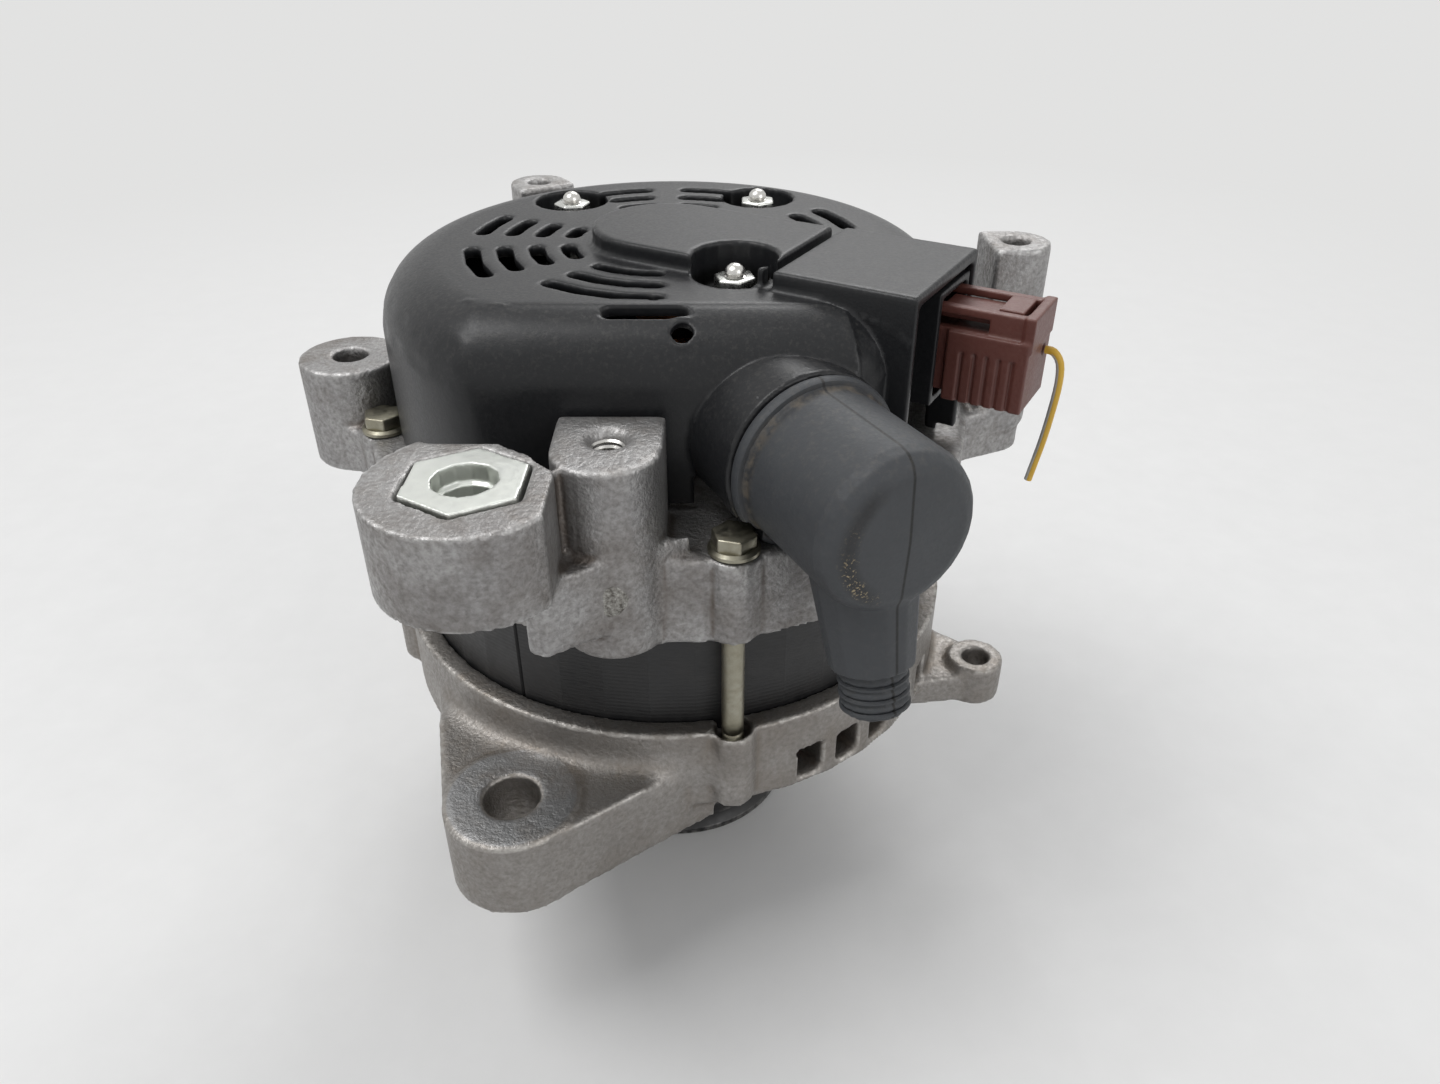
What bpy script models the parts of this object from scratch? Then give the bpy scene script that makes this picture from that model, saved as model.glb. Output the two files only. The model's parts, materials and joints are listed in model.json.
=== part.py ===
"""Car alternator standing on its pulley: two cast frames clamping a bare stator, a claw-pole rotor on two
ball bearings, a rectifier and regulator under a plastic rear cover, and the mating plug and terminal boot.
Metres, +Z up along the shaft. The origin is on the shaft axis, in the plane of the pulley's front rim."""

import math

import bmesh
import bpy
from mathutils import Matrix, Vector

MM = 0.001

# Clearances
FIT = 0.3 * MM
AIR_GAP = 0.6 * MM

# Shaft, pulley and bearings
SHAFT_R = 8.5 * MM
SHAFT_REAR_R = 7.5 * MM
SHAFT_TIP_R = 5 * MM
SHAFT_Z0 = 1 * MM
PULLEY_R = 30.5 * MM
RIB_COUNT = 6
RIB_PITCH = 3.56 * MM
RIB_DEPTH = 2.8 * MM
RIB_MARGIN = 2.82 * MM
PULLEY_H = RIB_COUNT * RIB_PITCH + 2 * RIB_MARGIN
PULLEY_NUT_AF = 22 * MM
PULLEY_NUT_H = 10 * MM
PULLEY_RECESS_R = PULLEY_NUT_AF / math.sqrt(3) + 4.8 * MM
PULLEY_RECESS_H = 14 * MM
SPACER_H = 7 * MM
FRONT_BEARING_R = 23.5 * MM
FRONT_BEARING_H = 14 * MM
FRONT_BEARING_Z0 = PULLEY_H + SPACER_H + FIT
REAR_BEARING_R = 17.5 * MM
REAR_BEARING_H = 11 * MM

# Stator and rotor
STATOR_R = 64 * MM
STATOR_H = 34 * MM
YOKE_T = 5 * MM
SLOT_COUNT = 36
SLOT_DEPTH = 9 * MM
SLOT_W = 4.2 * MM
STATOR_BORE_R = STATOR_R - YOKE_T - SLOT_DEPTH
WINDING_OVERHANG = 9.5 * MM
POLE_PAIRS = 6
POLE_DISC_H = 10 * MM
POLE_CORE_R = 17.5 * MM
CLAW_T = 6 * MM
CLAW_HALF_W = 10 * MM
FAN_INSET = 4 * MM
FAN_R = STATOR_BORE_R - FAN_INSET
FAN_BLADES = 9
BLADE_H = 4.6 * MM

# Heights up the shaft
FRAME_FOOT_Z = FRONT_BEARING_Z0 + 13.7 * MM
NOSE_Z = FRONT_BEARING_Z0 - 2.8 * MM
STATOR_Z0 = FRAME_FOOT_Z + 22 * MM
STATOR_Z1 = STATOR_Z0 + STATOR_H
REAR_Z1 = STATOR_Z1 + 15 * MM
REAR_BEARING_Z0 = REAR_Z1 - 0.9 * MM
COVER_H = 38.7 * MM
COVER_Z0 = REAR_Z1 + 1 * MM
COVER_Z1 = COVER_Z0 + COVER_H
SLIP_RING_Z = (REAR_Z1 + 17 * MM, REAR_Z1 + 25.5 * MM)
SHAFT_Z1 = SLIP_RING_Z[1] + 5.5 * MM

# Through bolts
BOLT_R = 2.4 * MM
BOLT_ANGLE = -77.5
BOLT_GAP = 1.1 * MM
BOLT_CIRCLE_R = STATOR_R + BOLT_R + BOLT_GAP
BOLT_HEAD_R = BOLT_R + 2.8 * MM
BOLT_HEAD_AF = 8 * MM
BOLT_HEAD_H = 4 * MM

# Drive-end frame
RIM_WALL = 5 * MM
RIM_R = STATOR_R + RIM_WALL
RIM_OVERLAP = 3.6 * MM
RIM_Z = STATOR_Z0 + RIM_OVERLAP
SEAT_LEDGE = 3 * MM
FRAME_WALL_R = STATOR_R - SEAT_LEDGE
HUB_WALL = 10.5 * MM
HUB_R = FRONT_BEARING_R + HUB_WALL
WINDOW_PITCH = 9
WINDOW_FIRST = 1
WINDOW_W = 6.4 * MM
WINDOW_Z0 = FRAME_FOOT_Z + 6.5 * MM
WINDOW_Z1 = FRAME_FOOT_Z + 15 * MM
RETAINER_SCREW_R = 2 * MM
RETAINER_SCREW_CIRCLE = FRONT_BEARING_R + HUB_WALL / 2 + 0.25 * MM
RETAINER_T = 2 * MM
LUG_REACH = 15 * MM
LUG_ANGLE = -112.4
LUG_X = (RIM_R + LUG_REACH) * math.cos(math.radians(LUG_ANGLE))
LUG_Y = (RIM_R + LUG_REACH) * math.sin(math.radians(LUG_ANGLE))
LUG_R = 14.5 * MM
LUG_Z0 = FRAME_FOOT_Z - 3 * MM
LUG_Z1 = FRAME_FOOT_Z + 16 * MM
LUG_HOLE_R = 6.1 * MM
EAR_REACH = 11.8 * MM
EAR_ANGLE = -15.1
EAR_X = (RIM_R + EAR_REACH) * math.cos(math.radians(EAR_ANGLE))
EAR_Y = (RIM_R + EAR_REACH) * math.sin(math.radians(EAR_ANGLE))
EAR_R = 7 * MM
EAR_Z0 = FRAME_FOOT_Z - 2 * MM
EAR_Z1 = FRAME_FOOT_Z + 9 * MM
EAR_HOLE_R = 3.4 * MM

# Rear frame
REAR_RING_WALL = 6.5 * MM
REAR_RING_R = STATOR_R + REAR_RING_WALL
REAR_OVERLAP = 4.5 * MM
REAR_Z0 = STATOR_Z1 - REAR_OVERLAP
REAR_WALL_T = 4 * MM
REAR_HUB_R = REAR_BEARING_R + 4.5 * MM
REAR_LUG_R = 18.7 * MM
REAR_LUG_SIDE = 15 * MM
REAR_LUG_Z0 = REAR_Z1 + 3 * MM
REAR_LUG_Z1 = REAR_Z1 + 22 * MM
LUG_LINK_Z1 = REAR_Z1 + 14 * MM
NUT_AF = 21 * MM
NUT_HEAD_H = 4.6 * MM
NUT_SLEEVE_R = 9 * MM
NUT_TRAVEL = 2 * MM
LEFT_LUG_REACH = 5.5 * MM
LEFT_LUG_X = -REAR_RING_R - LEFT_LUG_REACH
LEFT_LUG_R = 12 * MM
LEFT_LUG_Z0 = STATOR_Z1 + 2 * MM
LEFT_LUG_Z1 = REAR_Z1 + 12.6 * MM
LEFT_HOLE_R = 4.2 * MM
POST_R = 8 * MM
POST_HOLE_R = 3.2 * MM
POST_HOLE_DEPTH = 25 * MM
POST_REACH = 9.7 * MM
POST_BACK = 6.7 * MM
POST_FOOT_H = 8 * MM
POST_FOOT_R = 4.5 * MM
POST_Z0 = STATOR_Z1 + 0.5 * MM
RIGHT_POST_ANGLE = 4.3
RIGHT_POST_Z1 = COVER_Z1 - 1.7 * MM
BACK_POST_ANGLE = 119.1
BACK_POST_Z1 = COVER_Z1 - 4.7 * MM

# Rear cover
COVER_INSET = 6.8 * MM
COVER_R = REAR_RING_R - COVER_INSET
COVER_T = 2.5 * MM
COVER_EDGE_R = 14 * MM
COVER_FLAT_DEPTH = 12.7 * MM
COVER_FLAT_Y = COVER_FLAT_DEPTH - COVER_R
PLATFORM_R = 16.5 * MM
PLATFORM_RISE = 4 * MM
HOOD_ANGLE = -30
HOOD_OVERHANG = 2.3 * MM
HOOD_END = COVER_R + HOOD_OVERHANG
HOOD_Y1 = PLATFORM_R + 1 * MM
HOOD_Y0 = -HOOD_Y1
HOOD_WALL = 2 * MM
HOOD_LENGTH = 33 * MM
HOOD_GAP_AT = HOOD_END - HOOD_LENGTH
HOOD_GAP_W = 2.6 * MM
VENT_EDGE = 41.8 * MM
VENT_FIRST_R = COVER_R - VENT_EDGE
VENT_STEP = 7 * MM
VENT_W = 3.4 * MM
# Each group of vents spans from one angle to another, on the rows from the first to the last named.
VENT_GROUPS = [(-132, -88, 0, 2), (-174, -146, 0, 3), (153, 174, 0, 3),
               (97, 116, 0, 3), (67, 88, 0, 3), (12, 36, 1, 3)]
FRONT_VENT_INSET = 9.6 * MM
DRAIN_X = 4.7 * MM
DRAIN_INSET = 5 * MM
DRAIN_R = 2.1 * MM
STUD_INSET = 22 * MM
FRONT_STUD_STEP = 10.1 * MM
STUD_ANGLES = (-55.7, 127.1, 59.2)
COVER_STUD_R = 2.4 * MM
STUD_BOSS_R = 5.5 * MM
STUD_BOSS_RISE = 3.2 * MM
RECESS_R = 9 * MM
RECESS_Z = COVER_Z1 - 5.4 * MM
COVER_NUT_AF = 8 * MM
COVER_NUT_H = 4.6 * MM
COVER_STUD_Z1 = COVER_Z1 + 2.1 * MM

# Square boss of the rear frame, behind which the cover's flat side stands
BOSS_X = -8.9 * MM
BOSS_R = 10.4 * MM
BOSS_GAP = 1.6 * MM
BOSS_DEPTH = 13.2 * MM
BOSS_BACK_Y = COVER_FLAT_Y - BOSS_GAP
BOSS_Y = BOSS_BACK_Y - BOSS_DEPTH
BOSS_HOLE_R = 3.4 * MM

# Rectifier
RECTIFIER_FROM = 25
RECTIFIER_TO = 235
DIODE_INSET = 23.7 * MM
DIODE_CIRCLE_R = COVER_R - DIODE_INSET
DIODE_R = 6.3 * MM
TAB_HALF_W = 6.4 * MM

# Output terminal and boot, along their own axis from the shaft
TERMINAL_ANGLE = -63
TERMINAL_Z = REAR_Z1 + 15 * MM
NEST_R = 18 * MM
NEST_PROUD = 0.6 * MM
NEST_END = COVER_R + NEST_PROUD
COLLAR_X = NEST_END - 10 * MM
COLLAR_T = 1.1 * MM
TAB_T = 2.6 * MM
TERMINAL_STUD_R = 3.9 * MM
TERMINAL_NUT_AF = 13 * MM
INSULATOR_R = 8.7 * MM
BOOT_R = 16 * MM
BOOT_LIP = 0.8 * MM
BOOT_LENGTH = 32.7 * MM
BOOT_END = NEST_END + BOOT_LENGTH
BOOT_EDGE_R = 4.5 * MM
BOOT_WALL = 2.6 * MM
BOOT_SLEEVE_AT = NEST_END + 17.2 * MM
BOOT_SLEEVE_LEAN = 11 * MM
BOOT_SLEEVE_DROP = 42 * MM
BOOT_RIBS = 3

# Brush gear, regulator and plug, along the hood's direction
BRUSH_W = 6.4 * MM
BRUSH_H = 4.6 * MM
BRUSH_LENGTH = 11 * MM
BRUSH_TRAVEL = 5 * MM
SLIP_RING_R = SHAFT_TIP_R + 3.2 * MM
SLIP_RING_H = 5 * MM
SPRING_TURNS = 5
SPRING_WIRE_R = 0.35 * MM
SOCKET_Y0 = -0.6 * MM
SOCKET_Y1 = HOOD_Y1 - 1.9 * MM
SOCKET_Z0 = COVER_Z0 + 16 * MM
SOCKET_Z1 = COVER_Z1 - 1.7 * MM
SOCKET_WALL = 1.6 * MM
PLUG_REACH = 18 * MM
PLUG_END = HOOD_END + PLUG_REACH
PLUG_NOSE = 13 * MM
LEVER_X = HOOD_END + 8 * MM
WIRE_R = 0.85 * MM
WIRE_Y = SOCKET_Y1 - 5.1 * MM
WIRE_Z = SOCKET_Z0 + 10.5 * MM
# The wire leaves the plug, turns down and ends where it was cut: steps along the hood, across it, and up.
WIRE_ROUTE = [(0.4, 0, 0), (2.2, 0, -0.2), (3.8, -0.1, -2.3), (4.3, -0.3, -6.5),
              (4.0, -0.6, -12.5), (3.3, -0.9, -19.5), (2.4, -1.2, -25.5), (1.8, -1.4, -29.3)]

TURN_STEPS = 40


def clear_scene():
    for old in list(bpy.data.objects):
        bpy.data.objects.remove(old, do_unlink=True)


def new_collection(name):
    made = bpy.data.collections.new(name)
    bpy.context.scene.collection.children.link(made)
    return made


def new_material(name, colour, roughness, metallic):
    made = bpy.data.materials.new(name)
    made.use_nodes = True
    shader = made.node_tree.nodes["Principled BSDF"]
    shader.inputs["Base Color"].default_value = (*colour, 1)
    shader.inputs["Roughness"].default_value = roughness
    shader.inputs["Metallic"].default_value = metallic
    return made


clear_scene()
PARTS = new_collection("car_alternator")
CUTTERS = new_collection("car_alternator_cutters")

CAST = new_material("cast_aluminium", (0.45, 0.44, 0.43), 0.5, 1.0)
STEEL = new_material("zinc_steel", (0.62, 0.62, 0.58), 0.35, 1.0)
BLACK_PLASTIC = new_material("black_plastic", (0.03, 0.031, 0.034), 0.45, 0.0)
BLACK_CORE = new_material("black_core", (0.018, 0.018, 0.019), 0.5, 0.0)
RUBBER = new_material("boot_rubber", (0.035, 0.038, 0.043), 0.7, 0.0)
BROWN_PLASTIC = new_material("brown_plastic", (0.16, 0.055, 0.04), 0.45, 0.0)
YELLOW_WIRE = new_material("wire_jacket", (0.75, 0.47, 0.03), 0.4, 0.0)
COPPER = new_material("copper", (0.72, 0.35, 0.2), 0.4, 1.0)
CARBON = new_material("carbon", (0.05, 0.05, 0.05), 0.6, 0.0)
PULLEY_BLACK = new_material("pulley_black", (0.03, 0.03, 0.03), 0.4, 0.6)
CAST_IRON = new_material("rotor_iron", (0.2, 0.19, 0.18), 0.6, 1.0)


# Helpers that make one shape each

def place(name, mesh, material=None, frame=None):
    """Links a mesh as a part, or as a hidden helper when it has no material."""
    obj = bpy.data.objects.new(name, mesh)
    if material is None:
        CUTTERS.objects.link(obj)
        obj.hide_render = True
        obj.display_type = "WIRE"
    else:
        PARTS.objects.link(obj)
        mesh.materials.append(material)
    if frame is not None:
        obj.parent = frame
    return obj


def mesh_of(name, fill):
    shape = bmesh.new()
    fill(shape)
    bmesh.ops.recalc_face_normals(shape, faces=shape.faces)
    mesh = bpy.data.meshes.new(name)
    shape.to_mesh(mesh)
    shape.free()
    return mesh


def cylinder(name, radius, z0, z1, at=(0, 0), material=None, frame=None, sides=32, top_radius=None):
    def fill(shape):
        end = radius if top_radius is None else top_radius
        middle = Matrix.Translation((at[0], at[1], (z0 + z1) / 2))
        bmesh.ops.create_cone(shape, cap_ends=True, segments=sides, radius1=radius, radius2=end,
                              depth=z1 - z0, matrix=middle)
    return place(name, mesh_of(name, fill), material, frame)


def box(name, low, high, material=None, frame=None):
    def fill(shape):
        size = Vector(high) - Vector(low)
        bmesh.ops.create_cube(shape, size=1, matrix=Matrix.Translation((Vector(high) + Vector(low)) / 2)
                              @ Matrix.Diagonal((*size, 1)))
    return place(name, mesh_of(name, fill), material, frame)


def mesh_from(obj):
    """The evaluated mesh of an object, with its loose caps welded."""
    bpy.context.view_layer.update()
    mesh = bpy.data.meshes.new_from_object(obj.evaluated_get(bpy.context.evaluated_depsgraph_get()))
    shape = bmesh.new()
    shape.from_mesh(mesh)
    bmesh.ops.remove_doubles(shape, verts=shape.verts, dist=1e-6)
    bmesh.ops.recalc_face_normals(shape, faces=shape.faces)
    shape.to_mesh(mesh)
    shape.free()
    return mesh


def prism(name, outlines, z0, z1, material=None, frame=None):
    """A flat outline, with further outlines as holes, from one height to another."""
    curve = bpy.data.curves.new(name, "CURVE")
    curve.dimensions = "2D"
    curve.fill_mode = "BOTH"
    curve.extrude = (z1 - z0) / 2
    for outline in outlines:
        spline = curve.splines.new("POLY")
        spline.points.add(len(outline) - 1)
        for point, (x, y) in zip(spline.points, outline):
            point.co = (x, y, 0, 1)
        spline.use_cyclic_u = True
    holder = bpy.data.objects.new(name + "_outline", curve)
    CUTTERS.objects.link(holder)
    holder.location.z = (z0 + z1) / 2
    mesh = mesh_from(holder)
    mesh.transform(Matrix.Translation((0, 0, (z0 + z1) / 2)))
    bpy.data.objects.remove(holder)
    return place(name, mesh, material, frame)


def turned(name, profile, material=None, frame=None, closed=True, steps=TURN_STEPS):
    """A profile of (radius, height) points, running down its outer side, turned about Z."""
    mesh = bpy.data.meshes.new(name)
    count = len(profile)
    edges = [(i, i + 1) for i in range(count - 1)]
    if closed:
        edges.append((count - 1, 0))
    mesh.from_pydata([(r, 0, z) for r, z in profile], edges, [])
    obj = place(name, mesh, material, frame)
    screw = obj.modifiers.new("turn", "SCREW")
    screw.steps = screw.render_steps = steps
    screw.use_merge_vertices = True
    screw.merge_threshold = 1e-6
    return obj


def ring(name, inner, outer, z0, z1, material=None, frame=None, steps=TURN_STEPS):
    return turned(name, [(outer, z1), (outer, z0), (inner, z0), (inner, z1)], material, frame, steps=steps)


def joined(name, pieces):
    """Separate helper shapes as one helper, for a single cut."""
    shape = bmesh.new()
    for piece in pieces:
        mesh = mesh_from(piece)
        mesh.transform(piece.matrix_world)
        shape.from_mesh(mesh)
        bpy.data.objects.remove(piece)
    mesh = bpy.data.meshes.new(name)
    shape.to_mesh(mesh)
    shape.free()
    return place(name, mesh)


def combine(obj, other, operation):
    step = obj.modifiers.new(other.name, "BOOLEAN")
    step.operation = operation
    step.object = other
    step.solver = "EXACT"
    return obj


def cut(obj, *cutters):
    for cutter in cutters:
        combine(obj, cutter, "DIFFERENCE")
    return obj


def fuse(obj, *others):
    for other in others:
        combine(obj, other, "UNION")
    return obj


def empty(name, location, degrees):
    made = bpy.data.objects.new(name, None)
    PARTS.objects.link(made)
    made.location = location
    made.rotation_euler = (0, 0, math.radians(degrees))
    return made


def polar(radius, degrees):
    return radius * math.cos(math.radians(degrees)), radius * math.sin(math.radians(degrees))


def arc(centre, radius, start, end, count):
    """Points round a centre from one angle to another, in degrees."""
    turn = [start + (end - start) * i / (count - 1) for i in range(count)]
    return [(centre[0] + polar(radius, a)[0], centre[1] + polar(radius, a)[1]) for a in turn]


def hexagon(across_flats, first=0):
    return [polar(across_flats / math.sqrt(3), first + 60 * i) for i in range(6)]


def spun(obj, degrees):
    obj.rotation_euler.z = math.radians(degrees)
    return obj


def round_hole(name, radius, z0, z1, at=(0, 0), frame=None):
    return cylinder(name, radius, z0, z1, at, frame=frame, sides=12)


# Drive-end frame

def bolt_places():
    return [polar(BOLT_CIRCLE_R, BOLT_ANGLE + 90 * i) for i in range(4)]


def tangent_angle(centre, radius, point, side):
    """Angle, seen from a circle's centre, where the line to an outside point touches it."""
    dx, dy = point[0] - centre[0], point[1] - centre[1]
    return math.degrees(math.atan2(dy, dx) + side * math.acos(radius / math.hypot(dx, dy)))


def lug_outline(centre, radius, inner_r, start, end):
    """A lug's round end joined by straight sides to an arc inside the frame's wall."""
    inner = arc((0, 0), inner_r, start, end, 5)
    first = tangent_angle(centre, radius, inner[0], 1)
    last = tangent_angle(centre, radius, inner[-1], -1)
    while last < first:
        last += 360
    return inner + arc(centre, radius, last, first, 11)


def far_from(angle, others, margin):
    return all(abs((angle - other + 180) % 360 - 180) > margin for other in others)


def make_drive_end_frame():
    seat_r = FRONT_BEARING_R + FIT
    hub_top = FRONT_BEARING_Z0 + FRONT_BEARING_H
    core_r = STATOR_R + FIT
    frame = turned("drive_end_frame", [
        (RIM_R, RIM_Z), (RIM_R, FRAME_FOOT_Z + 5 * MM), (RIM_R - 5 * MM, FRAME_FOOT_Z),
        (HUB_R + 4 * MM, NOSE_Z + 8 * MM), (HUB_R, NOSE_Z + 2 * MM), (HUB_R - 3 * MM, NOSE_Z),
        (SHAFT_R + 6 * MM, NOSE_Z), (SHAFT_R + 6 * MM, FRONT_BEARING_Z0 - FIT), (seat_r, FRONT_BEARING_Z0 - FIT),
        (seat_r, hub_top), (HUB_R, hub_top), (HUB_R + 4 * MM, hub_top - 3 * MM),
        (FRAME_WALL_R - 3 * MM, FRAME_FOOT_Z + 3 * MM),
        (FRAME_WALL_R, FRAME_FOOT_Z + 6 * MM), (FRAME_WALL_R, RIM_Z)], CAST)
    # The facets of the turned wall are set square to the windows.
    spun(frame, WINDOW_FIRST - WINDOW_PITCH / 2)
    lug_sides = lug_outline((LUG_X, LUG_Y), LUG_R, RIM_R - 4 * MM, LUG_ANGLE - 43.6, LUG_ANGLE + 32.4)
    lug = prism("lug_web", [lug_sides], LUG_Z0, LUG_Z1)
    pad = cylinder("lug_pad", LUG_R - 0.4 * MM, LUG_Z1 - 2 * MM, LUG_Z1 + 0.8 * MM, (LUG_X, LUG_Y), sides=28)
    ear_sides = lug_outline((EAR_X, EAR_Y), EAR_R - 1.4 * MM, RIM_R - 4 * MM, EAR_ANGLE - 12, EAR_ANGLE + 12)
    ear = prism("ear_web", [ear_sides], EAR_Z0 + 1 * MM, EAR_Z1 - 2 * MM)
    ear_barrel = cylinder("ear_barrel", EAR_R, EAR_Z0, EAR_Z1, (EAR_X, EAR_Y))
    fuse(frame, lug, pad, ear, ear_barrel)
    for i, at in enumerate(bolt_places()):
        fuse(frame, cylinder(f"drive_bolt_boss_{i}", BOLT_HEAD_R, FRAME_FOOT_Z + 6 * MM, RIM_Z - 0.1 * MM, at, sides=12))
    keep_clear = [BOLT_ANGLE + 90 * i for i in range(4)] + [EAR_ANGLE]
    turns = [WINDOW_FIRST + i * WINDOW_PITCH for i in range(round(360 / WINDOW_PITCH))]
    angles = [a for a in turns if far_from(a, keep_clear, 9) and far_from(a, [LUG_ANGLE - 5.6], 40)]
    windows = [spun(box(f"window_{a}", (FRAME_WALL_R - 4 * MM, -WINDOW_W / 2, WINDOW_Z0),
                        (RIM_R + 4 * MM, WINDOW_W / 2, WINDOW_Z1)), a) for a in angles]
    front_vents = [spun(box(f"front_vent_{i}", (HUB_R + 5 * MM, -5 * MM, NOSE_Z),
                            (FRAME_WALL_R - 6 * MM, 5 * MM, WINDOW_Z0 - 1 * MM)), 30 * i) for i in range(12)]
    cut(frame, joined("window_cuts", windows), joined("front_vent_cuts", front_vents))
    core_room = cylinder("stator_room", core_r, STATOR_Z0 - FIT, RIM_Z + 2 * MM, sides=TURN_STEPS)
    holes = [round_hole(f"drive_bolt_hole_{i}", BOLT_R + FIT, FRAME_FOOT_Z + 8 * MM, RIM_Z + 1 * MM, at)
             for i, at in enumerate(bolt_places())]
    pockets = [round_hole(f"bolt_pocket_{i}", BOLT_R + 1.7 * MM, RIM_Z - 3 * MM, RIM_Z + 1 * MM, at)
               for i, at in enumerate(bolt_places())]
    screw_holes = [round_hole(f"retainer_hole_{i}", RETAINER_SCREW_R + FIT, hub_top - 8 * MM, hub_top + 1 * MM, at)
                   for i, at in enumerate(retainer_places())]
    cut(frame, core_room, joined("drive_bolt_holes", holes), joined("bolt_pockets", pockets),
        joined("retainer_holes", screw_holes),
        round_hole("lug_hole", LUG_HOLE_R, LUG_Z0 - 1 * MM, LUG_Z1 + 2 * MM, (LUG_X, LUG_Y)),
        round_hole("ear_hole", EAR_HOLE_R, EAR_Z0 - 1 * MM, EAR_Z1 + 1 * MM, (EAR_X, EAR_Y)))
    return frame


def retainer_places():
    return [polar(RETAINER_SCREW_CIRCLE, 45 + 90 * i) for i in range(4)]


def make_bearing_retainer():
    z0 = FRONT_BEARING_Z0 + FRONT_BEARING_H + FIT
    plate = ring("bearing_retainer_plate", SHAFT_R + 7 * MM, HUB_R - 0.5 * MM, z0, z0 + RETAINER_T, STEEL, steps=20)
    holes = [round_hole(f"plate_hole_{i}", RETAINER_SCREW_R + FIT, z0 - 1 * MM, z0 + 4 * MM, at)
             for i, at in enumerate(retainer_places())]
    cut(plate, joined("plate_holes", holes))
    for i, (x, y) in enumerate(retainer_places()):
        head = z0 + RETAINER_T + FIT
        screw = turned(f"retainer_screw_{i + 1}", [
            (0, head + 1.8 * MM), (3.4 * MM, head + 1.4 * MM), (3.4 * MM, head), (RETAINER_SCREW_R, head),
            (RETAINER_SCREW_R, head - 8 * MM), (0, head - 8 * MM)], STEEL, closed=False, steps=8)
        screw.location = (x, y, 0)


# Rear frame

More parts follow.
